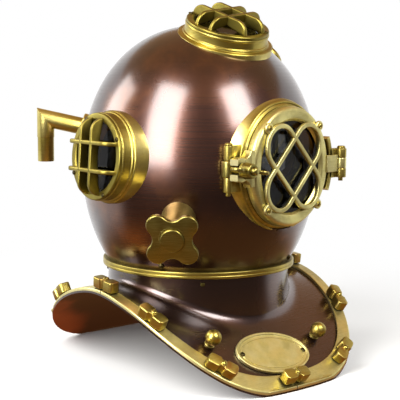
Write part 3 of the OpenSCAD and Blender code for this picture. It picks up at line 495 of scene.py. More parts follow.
def on_copper(s, place, inner, outer, profile, reach, steps, span=(-70.0, 30.0), cone=0.0,
              face=0.0, shelf=-1e3):
    """A turned ring whose underside follows the copper: its first two corners lie at foot(r, u).
    The outer wall may be a cone, r = outer + cone (face - level), whose foot takes a few rounds to
    find, and rows under the level `shelf` lie a little over the copper."""
    u = np.linspace(0, 2 * np.pi, steps, endpoint=False)
    path = rounded([[inner, 0.0], [outer, 0.0], *profile],
                   [0, 0, *np.broadcast_to(reach, len(profile))])
    per_corner, inner_sink, outer_sink, shelf_gap = 5, 1.0, 0.6, 0.7
    first, second = slice(0, per_corner), slice(per_corner, 2 * per_corner)
    radius = np.broadcast_to(path[:, 0], (steps, len(path))).copy()
    level = np.broadcast_to(path[:, 1], (steps, len(path))).copy()
    wide = np.full(steps, float(outer))
    for _ in range(6 if cone else 0):
        wide = outer + cone * (face - foot(s, place, wide, u, 0.0, *span))
    radius[:, second] = wide[:, None]
    level[:, first] = foot(s, place, inner, u, inner_sink, *span)[:, None]
    level[:, second] = foot(s, place, wide, u, outer_sink, *span)[:, None]
    for k in range(second.stop, level.shape[1]):
        if path[k, 1] < shelf:
            over = foot(s, place, radius[:, k], u, -shelf_gap, *span)
            level[:, k] = np.maximum(level[:, k], over)
    points = np.stack([radius * np.cos(u)[:, None], radius * np.sin(u)[:, None], level], -1)
    return placed(grid(points), place)


def new_mesh(name, surface, material):
    """Writes a surface into a mesh in metres and welds its closing rows."""
    points, faces = surface
    mesh = bpy.data.meshes.new(name)
    mesh.vertices.add(len(points))
    mesh.vertices.foreach_set("co", (points * MM).astype(np.float32).ravel())
    mesh.loops.add(faces.size)
    mesh.loops.foreach_set("vertex_index", faces.astype(np.int32).ravel())
    mesh.polygons.add(len(faces))
    mesh.polygons.foreach_set("loop_start", np.arange(0, faces.size, 4, dtype=np.int32))
    mesh.update(calc_edges=True)
    mesh.validate()
    work = bmesh.new()
    work.from_mesh(mesh)
    bmesh.ops.remove_doubles(work, verts=work.verts, dist=2e-6)
    bmesh.ops.dissolve_degenerate(work, edges=work.edges, dist=1e-7)
    work.to_mesh(mesh)
    work.free()
    mesh.materials.append(material)
    return mesh


def shown(name, data):
    """A new object of the scene, at the origin."""
    thing = bpy.data.objects.new(name, data)
    bpy.context.scene.collection.objects.link(thing)
    return thing


def make_piece(name, surface, look, body, replaces, sharp=38):
    """A visible piece, smooth but for edges over `sharp` degrees, with its look and its place
    among the frame's bodies."""
    mesh = new_mesh(name, surface, finish(look))
    mesh.polygons.foreach_set("use_smooth", np.ones(len(mesh.polygons), bool))
    mesh.set_sharp_from_angle(angle=math.radians(sharp))
    piece = shown(name, mesh)
    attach(piece, body)
    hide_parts(*replaces)
    return piece


# Finishes

class Nodes:
    """The nodes of one material, with short calls to add and join them."""

    def __init__(self, name):
        self.material = bpy.data.materials.get(name) or bpy.data.materials.new(name)
        self.material.use_nodes = True
        self.tree = self.material.node_tree
        self.tree.nodes.clear()
        self.out = self.tree.nodes.new("ShaderNodeOutputMaterial")
        self.where = self.tree.nodes.new("ShaderNodeTexCoord").outputs["Object"]

    def add(self, kind, **values):
        """A new node. A value goes to its property of that name, or else to its input."""
        node = self.tree.nodes.new(kind)
        for key, value in values.items():
            if hasattr(node, key):
                setattr(node, key, value)
            else:
                self.put(node.inputs[key.replace("_", " ")], value)
        return node

    def put(self, socket, value):
        """Joins another node's output to a socket, or sets the socket's own value."""
        if isinstance(value, bpy.types.NodeSocket):
            self.tree.links.new(value, socket)
        elif hasattr(value, "__len__") and len(value) == 3 and socket.type == "RGBA":
            socket.default_value = (*value, 1.0)
        else:
            socket.default_value = value

    def noise(self, scale, detail=4.0, rough=0.55, stretch=(1, 1, 1), move=(0, 0, 0)):
        """Clouds of about 1/scale metres, stretched along an axis by a value under 1."""
        mapping = self.add("ShaderNodeMapping", Scale=stretch, Location=move)
        self.put(mapping.inputs["Vector"], self.where)
        node = self.add("ShaderNodeTexNoise", Scale=scale, Detail=detail, Roughness=rough)
        self.put(node.inputs["Vector"], mapping.outputs[0])
        return node.outputs["Fac"]

    def ramp(self, value, low, high, low_out=0.0, high_out=1.0):
        """A smooth step from one output value to another between two input values."""
        node = self.add("ShaderNodeMapRange", interpolation_type="SMOOTHSTEP")
        for key, v in (("Value", value), ("From Min", low), ("From Max", high), ("To Min", low_out),
                       ("To Max", high_out)):
            self.put(node.inputs[key], v)
        return node.outputs["Result"]

    def maths(self, kind, a, b):
        node = self.add("ShaderNodeMath", operation=kind)
        self.put(node.inputs[0], a)
        self.put(node.inputs[1], b)
        return node.outputs[0]

    def blend(self, factor, a, b):
        """A mix of two shaders."""
        node = self.add("ShaderNodeMixShader")
        for socket, value in zip(node.inputs, (factor, a, b)):
            self.put(socket, value)
        return node.outputs[0]

    def mix(self, factor, a, b):
        """A mix of two colours."""
        node = self.add("ShaderNodeMix", data_type="RGBA")
        for socket, value in ((node.inputs[0], factor), (node.inputs[6], a), (node.inputs[7], b)):
            self.put(socket, value)
        return node.outputs[2]

    def recess(self, distance):
        """1 in the open, towards 0 where neighbouring surfaces stand close."""
        node = self.add("ShaderNodeAmbientOcclusion", samples=8, Distance=distance)
        return node.outputs["AO"]

    def edges(self):
        """1 on outward edges, 0 on flat and hollow places."""
        return self.ramp(self.add("ShaderNodeNewGeometry").outputs["Pointiness"], 0.51, 0.58)

    def bump(self, height, strength, distance):
        node = self.add("ShaderNodeBump", Strength=strength, Distance=distance)
        self.put(node.inputs["Height"], height)
        return node.outputs["Normal"]

    def surface(self, kind, **values):
        """Gives the material that shader."""
        self.put(self.out.inputs["Surface"], self.add(kind, **values).outputs[0])

    def shader(self, **values):
        self.surface("ShaderNodeBsdfPrincipled", **values)


def copper(name, dark, plain, warm, warm_low=0.49, low_z=0.22):
    """Antiqued copper under lacquer: dark clouds and warm ones over a plain patina, the warm ones
    strongest towards the bottom, painted shade in its recesses, fine rings from the spinning lathe, and a
    smooth clear coat."""
    n = Nodes(name)
    clouds = n.ramp(n.noise(7, 3, 0.5), 0.40, 0.62)
    warm_clouds = n.ramp(n.noise(9, 4, 0.55, move=(3.1, 0.4, 1.7)), warm_low, warm_low + 0.16)
    height = n.add("ShaderNodeSeparateXYZ")
    n.put(height.inputs[0], n.where)
    # Warm clouds are at a quarter of their strength above low_z and rise to full strength below it,
    # towards the bottom.
    low_part = n.ramp(height.outputs["Z"], low_z, low_z - 0.07, 0.25, 1.0)
    rings = n.noise(1, 2, 0.6, stretch=(2, 2, 500))
    fine = n.noise(240, 3, 0.6)
    base = n.mix(clouds, dark, plain)
    base = n.mix(n.maths("MULTIPLY", warm_clouds, low_part), base, warm)
    base = n.mix(n.ramp(fine, 0.25, 0.8, 0.0, 0.22), base, dark)
    # Painted shade: a dark colour mixed in where ambient occlusion finds recesses.
    recess_shade = (0.02, 0.009, 0.007)
    base = n.mix(n.ramp(n.recess(0.012), 0.25, 0.75, 0.75, 0.0), base, recess_shade)
    rough = n.maths("ADD", n.ramp(clouds, 0, 1, 0.33, 0.27), n.ramp(rings, 0.3, 0.7, -0.02, 0.03))
    brushing = n.maths("MULTIPLY", rings, 0.6)
    normal = n.bump(n.maths("ADD", brushing, n.noise(30, 2, 0.5)), strength=0.02, distance=0.0006)
    n.shader(Base_Color=base, Metallic=1.0, Roughness=rough, Normal=normal, Coat_Weight=1.0,
             Coat_Roughness=0.2, Coat_IOR=1.75)


def brass(name, dark, plain, pale, rough=0.33, recess=0.010, stain=None, brushed=(1, 1, 40),
          pits=0.25):
    """Antiqued brass: pale on its edges, darkened by painted shade in its recesses, cloudy between, with
    fine brushing along one axis and small pits where it is cast. A stain colours part of it."""
    n = Nodes(name)
    clouds = n.ramp(n.noise(28, 4, 0.6), 0.35, 0.68)
    fine = n.noise(420, 3, 0.65)
    brush = n.noise(60, 3, 0.6, stretch=brushed)
    open_air = n.recess(recess)
    middle = tuple(0.55 * p + 0.45 * d for p, d in zip(plain, dark))
    base = n.mix(clouds, middle, plain)
    base = n.mix(n.ramp(brush, 0.35, 0.75, 0.0, 0.30), base, pale)
    if stain is not None:
        patches = n.noise(34, 3, 0.55, move=(1.3, 2.2, 0.6))
        base = n.mix(n.ramp(patches, 0.52, 0.66, 0.0, 0.85), base, stain)
    # Painted shade: mixes towards the dark colour where ambient occlusion finds recesses.
    base = n.mix(n.ramp(open_air, 0.15, 0.72, 0.9, 0.0), base, dark)
    base = n.mix(n.maths("MULTIPLY", n.edges(), n.ramp(clouds, 0, 1, 0.35, 0.8)), base, pale)
    roughness = n.maths("ADD", n.ramp(clouds, 0, 1, rough + 0.07, rough - 0.03),
                        n.ramp(open_air, 0.2, 0.8, 0.18, 0.0))
    height = n.maths("ADD", n.maths("MULTIPLY", fine, pits), n.maths("MULTIPLY", brush, 0.25))
    n.shader(Base_Color=base, Metallic=1.0, Roughness=roughness,
             Normal=n.bump(height, strength=0.25, distance=0.0004))


FINISHES = {
    "bonnet_copper": "spun_copper", "plate_copper": "plate_copper", "brass": "antiqued_brass",
    "rim_brass": "pale_brass", "clamp_brass": "clamp_brass", "plate_brass": "cast_plate_brass",
    "guard_brass": "olive_brass", "valve_brass": "valve_brass", "screw_brass": "screw_brass",
    "dark_screw": "black_brass", "inside": "inner_copper", "glass": "pane_glass",
    "rubber": "black_rubber", "leather": "oiled_leather"}


def finish(look):
    """The material of a look. The looks of the frame's own pieces are their material slots."""
    return bpy.data.materials[FINISHES[look]]


def finishes():
    """Makes all materials."""
    p = bpy.context.scene.helmet_colours
    copper("spun_copper", p.copper_dark, p.copper, p.copper_warm)
    copper("plate_copper", p.plate_dark, p.plate, p.plate_warm, warm_low=0.60, low_z=0.05)
    brass("antiqued_brass", p.brass_dark, p.brass, p.brass_pale)
    # The rim colour is paler brass and also carries a painted highlight for the upward-facing rim.
    brass("pale_brass", p.brass_dark, p.rim, p.brass_bright, rough=0.36)
    brass("clamp_brass", p.brass_dark, p.brass, p.brass_pale, rough=0.34, recess=0.014, stain=p.rust)
    brass("cast_plate_brass", p.brass_dark, p.rim, p.brass_bright, rough=0.42, recess=0.004,
          brushed=(1, 1, 1), pits=0.9)
    brass("olive_brass", p.brass_dark, p.olive, p.brass, rough=0.38, recess=0.018, brushed=(1, 1, 1),
          pits=0.5)
    brass("valve_brass", p.brass_dark, p.olive, p.brass_pale, rough=0.30, recess=0.008)
    brass("screw_brass", p.brass_dark, p.brass, p.brass_pale, rough=0.30, recess=0.003)
    brass("black_brass", p.black, p.black, p.olive, rough=0.4, recess=0.003)
    inner_copper(p.inside_dark, p.inside)
    Nodes("pane_glass").shader(Base_Color=(0.22, 0.22, 0.22), Roughness=0.01, IOR=1.2,
                               Transmission_Weight=1.0, Specular_IOR_Level=0.12)
    plain_stuff("black_rubber", 90, (0.012, 0.012, 0.012), (0.03, 0.03, 0.03), 0.75)
    plain_stuff("oiled_leather", 60, (0.05, 0.028, 0.015), (0.11, 0.065, 0.035), 0.6)


def inner_copper(dark, plain):
    """The breastplate's inner face, with painted shade that darkens it towards the far end of a line
    across it.
    """
    n = Nodes("inner_copper")
    aside = n.add("ShaderNodeVectorMath", operation="DOT_PRODUCT")
    n.put(aside.inputs[0], n.where)
    aside.inputs[1].default_value = (-0.69, 0.72, 0)
    clouds = n.ramp(n.noise(16, 3, 0.5), 0.3, 0.7, -0.012, 0.012)
    glow = n.maths("ADD", aside.outputs["Value"], clouds)
    n.shader(Base_Color=n.mix(n.ramp(glow, 0.150, 0.190), dark, plain), Metallic=0.7, Roughness=0.42)


def plain_stuff(name, scale, dark, pale, rough):
    n = Nodes(name)
    n.shader(Base_Color=n.mix(n.noise(scale), dark, pale), Roughness=rough)


# Copper shells

def bonnet_profile(s, grow):
    """Radius and level of the bonnet: half an ellipse r = R cos t, z = -H sin t below the widest
    level, and r = R cos(t)^(2/k), z = C sin(t)^(2/k) above it, both grown outwards."""
    low_steps, high_steps = 60, 120
    t0 = math.asin(s.bonnet_rise / (s.low_h + grow))
    t = np.linspace(t0, 0, low_steps, endpoint=False)
    low = np.stack([(s.bonnet_r + grow) * np.cos(t), s.mid_z - (s.low_h + grow) * np.sin(t)], 1)
    t = np.linspace(0, np.pi / 2, high_steps)
    power = 2 / s.crown_square
    high = np.stack([(s.bonnet_r + grow) * np.clip(np.cos(t), 0, 1) ** power,
                     s.mid_z + (s.crown_h + grow) * np.clip(np.sin(t), 0, 1) ** power], 1)
    high[-1, 0] = 0
    return np.concatenate([low, high])


def bonnet_radius(s, level):
    """The same two curves as a radius at each level."""
    level = np.asarray(level, float)
    low = s.bonnet_r * np.sqrt(np.clip(1 - ((s.mid_z - level) / s.low_h) ** 2, 0, 1))
    up = np.clip((level - s.mid_z) / s.crown_h, 0, 1)
    high = s.bonnet_r * np.clip(1 - up ** s.crown_square, 0, 1) ** (1 / s.crown_square)
    return np.where(level < s.mid_z, low, high)


def bonnet_shell(s):
    """Outer and inner turned walls with round openings. Faces whose middle lies in an opening are
    left out, the points along the cut are moved onto its circle, and the two walls are joined
    along every cut."""
    columns = 256
    u = np.linspace(0, 2 * np.pi, columns, endpoint=False)
    walls = []
    for grow in (0.0, -s.bonnet_wall):
        profile = bonnet_profile(s, grow)
        walls.append(np.stack([profile[:, :1] * np.cos(u), profile[:, :1] * np.sin(u),
                               np.broadcast_to(profile[:, 1:], (len(profile), columns))], -1))
    rows = len(walls[0])
    outer = walls[0]
    middle = (outer[:-1] + outer[1:] + np.roll(outer, -1, 1)[:-1] + np.roll(outer, -1, 1)[1:]) / 4
    keep = np.ones(middle.shape[:2], bool)
    slack, valve_bore, cup_edge = 0.1, 12.0, 8
    holes = [(at_door(s), s.port_r + slack, 60),
             *((place(s), s.hole_r + slack, -60) for place in (at_right, at_left, at_top)),
             (at_exhaust(s), valve_bore, -30), (at_cup(s), s.cup_r - cup_edge, -30),
             *((elbow_path(s, side), s.elbow_bore_r, -90) for side in (-1, 1))]
    for place, radius, floor in holes:
        back = np.linalg.inv(place)
        local = middle @ back[:3, :3].T + back[:3, 3]
        hole = (np.hypot(local[..., 0], local[..., 1]) < radius) & (local[..., 2] > floor)
        keep &= ~hole
        touch = np.zeros((rows, columns, 2), bool)
        for k, mask in enumerate((hole, ~hole)):
            around = mask | np.roll(mask, 1, 1)
            touch[:-1, :, k] |= around
            touch[1:, :, k] |= around
        edge = touch.all(-1)
        for wall in walls:
            p = wall[edge] @ back[:3, :3].T + back[:3, 3]
            rho = np.maximum(np.hypot(p[:, 0], p[:, 1]), 1e-6)[:, None]
            p[:, :2] *= radius / rho
            wall[edge] = p @ place[:3, :3].T + place[:3, 3]
    index = np.arange(rows * columns).reshape(rows, columns)
    right = np.roll(index, -1, 1)
    quads = np.stack([index[:-1], right[:-1], right[1:], index[1:]], -1)[keep]
    total = rows * columns
    above = np.vstack([keep, np.zeros((1, columns), bool)])
    below = np.vstack([np.zeros((1, columns), bool), keep])
    level_cut = above != below
    level_cut[-1] = False
    level = np.stack([index, right, right + total, index + total], -1)[level_cut]
    upright_cut = keep != np.roll(keep, 1, 1)
    upright = np.stack([index[:-1], index[1:], index[1:] + total, index[:-1] + total], -1)[upright_cut]
    points = np.concatenate([w.reshape(-1, 3) for w in walls])
    return points, np.concatenate([quads, quads[:, ::-1] + total, level, upright])


def elbow_path(s, side):
    """The place of an elbow's corner, facing along its arm."""
    return (at_elbow(side) @ shift(s.elbow_out, 0, s.mid_z + s.elbow_rise)
            @ turn("Y", 90 - s.elbow_slope))


def signed_power(v, e):
    return np.sign(v) * np.abs(v) ** e


def outline(s, degrees):
    """The breastplate's outline: |x/W|^k + |y/L|^k = 1, at these azimuths."""
    a = np.radians(degrees)
    r = ((np.abs(np.cos(a)) / s.plate_half_w) ** s.plate_square
         + (np.abs(np.sin(a)) / s.plate_half_l) ** s.plate_square) ** (-1 / s.plate_square)
    return np.stack([r * np.cos(a), r * np.sin(a)], -1)


def outline_normal(s, p):
    g = np.stack([signed_power(p[..., 0] / s.plate_half_w, s.plate_square - 1) / s.plate_half_w,
                  signed_power(p[..., 1] / s.plate_half_l, s.plate_square - 1) / s.plate_half_l], -1)
    return g / np.linalg.norm(g, axis=-1, keepdims=True)


def inset(s, degrees, distance):
    """Points at that distance inside the outline."""
    p = outline(s, degrees)
    return p - distance * outline_normal(s, p)


def saddle(s, p):
    """The sheet's level: (S - d (x/W)^2) (1 - |y/L|^m) - c, at least one wall above the ground."""
    x, y = p[..., 0] / s.plate_half_w, np.abs(p[..., 1]) / s.plate_half_l
    level = (s.shoulder_h - s.shoulder_drop * x ** 2) * (1 - y ** s.plate_slope) - s.foot_cut
    return np.maximum(s.plate_wall, level)


def sheet_rows(s, degrees, r, drop):
    """Points of the copper sheet from the collar's top to the outline, for each azimuth: the
    collar's wall, its round foot (a curve of the second degree that leaves upright and lands on
    the slope), the slope, and the flat strip under the rim."""
    wall_steps, foot_steps, slope_steps, strip_steps = 8, 22, 44, 3
    e = inset(s, degrees, s.rim_w)
    k = inset(s, degrees, s.foot_strip)
    o = outline(s, degrees)
    d = e / np.linalg.norm(e, axis=-1, keepdims=True)
    foot = r + s.collar_foot
    f = foot * d
    z1 = saddle(s, f) - drop
    rise = (saddle(s, (foot - 1) * d) - saddle(s, (foot + 1) * d)) / 2
    corner = z1 + rise * s.collar_foot
    start = corner + s.collar_foot * 0.6
    rows = []
    for t in np.linspace(0, 1, wall_steps, endpoint=False):
        rows.append(np.concatenate([r * d, (s.collar_top + (start - s.collar_top) * t)[:, None]], 1))
    for t in np.linspace(0, 1, foot_steps):
        q = ((1 - t * t) * r + t * t * foot) * d
        z = (1 - t) ** 2 * start + 2 * t * (1 - t) * corner + t * t * z1
        rows.append(np.concatenate([q, z[:, None]], 1))
    for t in np.linspace(0, 1, slope_steps + 1)[1:]:
        q = f + (e - f) * t
        rows.append(np.concatenate([q, (saddle(s, q) - drop)[:, None]], 1))
    for a, b in ((e, k), (k, o)):
        for t in np.linspace(0, 1, strip_steps + 1)[1:]:
            q = a + (b - a) * t
            rows.append(np.concatenate([q, (saddle(s, q) - drop)[:, None]], 1))
    return np.stack(rows)


def rim_length(s, a0, a1):
    """One length of the rim, between two azimuths: a flat band on the sheet whose edges are
    rounded, level = sheet + gap + thickness sqrt(1 - (1 - x/e)^2) within e of an edge."""
    gap, overhang, edge, joint = 0.1, 0.2, 1.2, 0.2
    a = np.linspace(a0 + joint, a1 - joint, 160)
    ease = edge * np.linspace(0, 1, 5)
    wide = s.rim_w - 0.1
    spread = np.concatenate([ease, np.linspace(edge, s.rim_w - edge, 8)[1:-1], (wide - ease)[::-1]])
    near = np.minimum(spread, wide - spread)
    lift = 0.55 + 0.45 * np.sqrt(np.clip(1 - (1 - np.clip(near / edge, 0, 1)) ** 2, 0, 1))
    tops, feet = [], []
    for d, h in zip(spread - overhang, lift):
        q = inset(s, a, d)
        z = saddle(s, inset(s, a, max(d, 0.0))) + gap
        tops.append(np.concatenate([q, (z + s.rim_t * h)[:, None]], 1))
        feet.append(np.concatenate([q, z[:, None]], 1))
    return grid(capped(np.stack(tops + feet[::-1], 1)), wrap_u=False)


def clamp_angles(s):
    """Azimuths of the twelve clamps: the front and back tips, then the right and left sides."""
    right, left = (30, 56, 82, 118, 143), (30, 56, 90, 112, 146)
    return np.array([0, 180, *(-v for v in right), *left]) + 270 + s.clamp_turn


def on_rim(s, a, up):
    """The place of a clamp: the middle of the rim at that azimuth, square to the outline and
    leaning with the brass."""
    o, m, e = (inset(s, np.array([a]), s.rim_w * part)[0] for part in (0, 0.5, 1))
    d = outline_normal(s, o)
    p, q = inset(s, np.array([a + 2, a - 2]), s.rim_w / 2)
    lean = math.degrees(math.atan2(float(saddle(s, e) - saddle(s, o)), s.rim_w))
    along = float(np.linalg.norm(p - q))
    roll = math.degrees(math.atan2(float(saddle(s, p) - saddle(s, q)), along))
    level = float(saddle(s, o) + saddle(s, e)) / 2 + s.rim_t
    return (on_plate_body(s) @ shift(*m, level) @ turn("Z", math.degrees(math.atan2(d[1], d[0])))
            @ turn("X", roll) @ turn("Y", lean) @ shift(0, 0, up))


def on_lobe(s, azimuth, r, up):
    """A place on the front lobe, leaning with the sheet."""
    p = r * np.array([math.cos(math.radians(azimuth)), math.sin(math.radians(azimuth))])
    tilt = math.degrees(math.atan(s.shoulder_h * s.plate_slope / s.plate_half_l
                                  * (abs(p[1]) / s.plate_half_l) ** (s.plate_slope - 1)))
    return on_plate_body(s) @ shift(*p, float(saddle(s, p))) @ turn("X", tilt) @ shift(0, 0, up)


class HelmetStep:
    """What every step of the build shares"""
    bl_options = {"REGISTER", "UNDO"}


class HELMET_OT_finishes(HelmetStep, bpy.types.Operator):
    """Makes the materials and gives them to the frame's own pieces"""
    bl_idname = "helmet.finishes"
    bl_label = "Finishes"

    def execute(self, context):
        finishes()
        for row in frame["record"]["subparts"]:
            node = frame["nodes"][row["node"]]
            node.data.materials.clear()
            node.data.materials.append(finish(row["material_slot"]))
        return {"FINISHED"}


class HELMET_OT_bonnet(HelmetStep, bpy.types.Operator):
    """Spun copper bonnet with its openings"""
    bl_idname = "helmet.bonnet"
    bl_label = "Bonnet"

    def execute(self, context):
        s = read_sizes()
        make_piece("bonnet_shell", bonnet_shell(s), "bonnet_copper", "bonnet",
                   ["bonnet"], 60)
        return {"FINISHED"}


class HELMET_OT_bonnet_ring(HelmetStep, bpy.types.Operator):
    """Brass ring at the bonnet's foot with its lugs and its studs"""
    bl_idname = "helmet.bonnet_ring"
    bl_label = "Bonnet ring"

    def execute(self, context):
        s = read_sizes()
        r, z, inner, top, neck = s.ring_r, s.ring_z, s.collar_r - 1.9, s.bonnet_z, s.neck_out_r
        flange_top, edge = top + 9, 0.6
        ring = lathe([[inner, z], [r - edge, z], [r, z + 0.8], [r, z + 3.1], [r - 0.7, z + 3.6],
                      [r, z + 4.1], [r, top - edge], [r - edge, top], [neck - 2.7, top],
                      [neck + 2.5, flange_top], [neck - 0.4, flange_top], [inner, top + 1]], 0.5, 256)
        lug_middle, lug_top = 45, top - 4.3
        a = np.radians(np.linspace(lug_middle - s.lug_angle / 2, lug_middle + s.lug_angle / 2, 24))
        wide = s.lug_out - s.lug_in
        path = (s.lug_in + wide / 2) * np.stack([np.cos(a), np.sin(a)], 1)
        lug = band(path, box_profile(wide, z, lug_top, 0.5), False)
        lugs = placed(lug, *[turn("Z", 90 * k) for k in range(4)])
        make_piece("neck_band", joined(ring, lugs), "brass", "bonnet", ["bonnet_ring"])
        stud = lathe([[0, 0.3], [3.4, 0.3], [3.4, 1.2], [2, 2.6], [0, 2.6]], 0.6, 32)
        level, first = s.bonnet_z + 6, 202
        dip = math.degrees(math.atan(float(bonnet_radius(s, level + 1) - bonnet_radius(s, level - 1)) / 2))
        places = [on_bonnet(s, level, first + 90 * k, -dip) for k in range(4)]
        make_piece("band_studs", placed(stud, *places), "dark_screw", "bonnet",
                   ["ring_studs"])
        return {"FINISHED"}


class HELMET_OT_breastplate(HelmetStep, bpy.types.Operator):
    """Copper breastplate with its collar"""
    bl_idname = "helmet.breastplate"
    bl_label = "Breastplate"

    def execute(self, context):
        s = read_sizes()
        collar_wall = 2
        a = np.linspace(0, 360, 360, endpoint=False)
        outer = sheet_rows(s, a, s.collar_r, 0.0)
        inner = sheet_rows(s, a, s.collar_r - collar_wall, s.plate_wall)
        sheet = placed(grid(np.concatenate([outer, inner[::-1]])), on_plate_body(s))
        piece = make_piece("saddle_plate", sheet, "plate_copper", "breastplate",
                           ["breastplate"], 50)
        piece.data.materials.append(finish("inside"))
        facing, middle = (np.empty(len(piece.data.polygons) * 3) for _ in range(2))
        piece.data.polygons.foreach_get("normal", facing)
        piece.data.polygons.foreach_get("center", middle)
        facing, middle = facing.reshape(-1, 3), middle.reshape(-1, 3)
        toward_axis = -(facing[:, :2] * middle[:, :2]).sum(1)
        inside = (facing[:, 2] < -0.2) | (toward_axis > 0.5 * s.collar_r * MM)
        piece.data.polygons.foreach_set("material_index", inside.astype(np.int32))
        return {"FINISHED"}


class HELMET_OT_rim(HelmetStep, bpy.types.Operator):
    """Four lengths of brass rim"""
    bl_idname = "helmet.rim"
    bl_label = "Rim"

    def execute(self, context):
        s = read_sizes()
        cuts = clamp_angles(s)
        front, back, right, left = cuts[0], cuts[1] - 360, cuts[4], cuts[9] - 360
        spans = {"rim_front_right": (right, front), "rim_front_left": (front - 360, left),
                 "rim_back_right": (back, right), "rim_back_left": (left, back)}
        for name, (a0, a1) in spans.items():
            make_piece("band_" + name[4:], placed(rim_length(s, a0, a1), on_plate_body(s)),
                       "rim_brass", "breastplate", [name])
        return {"FINISHED"}


class HELMET_OT_clamps(HelmetStep, bpy.types.Operator):
    """Two-lobed clamp blocks with their screws"""
    bl_idname = "helmet.clamps"
    bl_label = "Clamps"
    boss_rise = 0.1

    def execute(self, context):
        s = read_sizes()
        places = [on_rim(s, a, s.clamp_lift) for a in clamp_angles(s)]
        make_piece("clamp_blocks", placed(self.block(s), *places), "clamp_brass", "breastplate",
                   ["rim_clamps"])
        screw = placed(slotted_screw(head_r=3.4, head_h=2.4, depth=5.0, shank_r=2.4),
                       shift(0, 0, s.clamp_h + self.boss_rise) @ turn("Z", 30))
        make_piece("clamp_block_screws", placed(screw, *places), "screw_brass", "breastplate",
                   ["clamp_screws"])
        return {"FINISHED"}

    def block(self, s):
        """Half width over the length y: full, with round corners w - r + sqrt(r^2 - e^2) at the
        distance e into a corner, and less a round notch at the waist."""
        w, end, r, notch_out, boss_r = s.clamp_w / 2, s.clamp_l / 2, s.clamp_round, 1.6, 4.3
        corner = end - r + r * np.sin(np.linspace(0, np.pi / 2, 9))
        y = np.concatenate([np.linspace(0, end - r, 30), corner[1:]])
        half = w - r + np.sqrt(np.clip(r ** 2 - np.clip(y - end + r, 0, None) ** 2, 0, None))
        notch = w + notch_out - np.sqrt(np.clip(r ** 2 - y ** 2, 0, None))
        half = np.where(y < r, np.minimum(half, notch), half)
        quarter = np.stack([half, y], 1)
        upper = np.concatenate([quarter, quarter[::-1] * [-1, 1]])
        outline = np.concatenate([upper, (upper[::-1] * [1, -1])[1:-1]])
        return joined(prism(outline, 0.0, s.clamp_h, 1.3, 4),
                      cylinder(boss_r, s.clamp_h - 3, s.clamp_h + self.boss_rise, 0.4, 32))


class HELMET_OT_chest(HelmetStep, bpy.types.Operator):
    """Ball studs and the bare oval plate on the front lobe"""
    bl_idname = "helmet.chest"
    bl_label = "Chest fittings"

    def execute(self, context):
        s = read_sizes()
        t = np.linspace(0, np.pi, 28)
        seat, neck_h, lift = 1.4, 2.4, 0.25
        neck = np.array([[0, 0], [6.2, 0], [6.2, 0.8], [5.6, 1.3], [4.2, 1.7], [3.8, 2.2]])
        top = np.stack([s.ball_r * np.sin(t), s.ball_r + seat - s.ball_r * np.cos(t)], 1)
        top = top[(top[:, 0] > 0) & (top[:, 1] > neck_h)]
        profile = np.concatenate([neck, top, [[0, 2 * s.ball_r + seat]]])
        stud = turned(profile, 64, closed=False)
        middle = 270 + s.badge_turn
        balls = [on_lobe(s, middle + side * s.ball_turn, s.ball_at, lift) for side in (-1, 1)]
        make_piece("chest_balls", placed(stud, *balls), "clamp_brass", "breastplate",
                   ["weight_balls"])
        badge = on_lobe(s, middle, s.badge_at, 0) @ turn("Z", s.badge_turn * 1.4)
        make_piece("bare_oval", placed(self.oval(s), badge), "plate_brass", "breastplate",
                   ["oval_plate"], 50)
        screw = slotted_screw(head_r=2.9, head_h=1.8, depth=2.0, shank_r=1.5)
        ends = [badge @ shift(side * s.oval_l * 0.43, 0, 3) for side in (-1, 1)]
        make_piece("oval_screws", placed(screw, *ends), "dark_screw", "breastplate",
                   ["oval_plate_screws"])
        return {"FINISHED"}

    def oval(self, s):
        """An elliptic plate with a raised border and a raised line inside it: level over the
        distance d from the edge, carried round the ellipse (l cos u, w sin u)."""
        u = np.linspace(0, 2 * np.pi, 160, endpoint=False)
        profile = np.array([[0.0, 0.3], [0.0, 3.4], [0.35, 3.9], [0.8, 4.0], [2.4, 4.0], [2.9, 3.8],
                            [3.3, 2.95], [3.8, 2.8], [6.4, 2.8], [6.8, 3.3], [7.6, 3.3], [8.0, 2.8],
                            [12.0, 2.8], [20.0, 2.8]])
        rows = [np.stack([(s.oval_l / 2 - d) * np.cos(u), (s.oval_w / 2 - d) * np.sin(u),
                          np.full(len(u), z)], 1) for d, z in profile]
        under, over = (np.broadcast_to([0, 0, z], (len(u), 3)) for z in profile[[0, -1], 1])
        return grid(np.stack([under, *rows, over]), wrap_u=False)


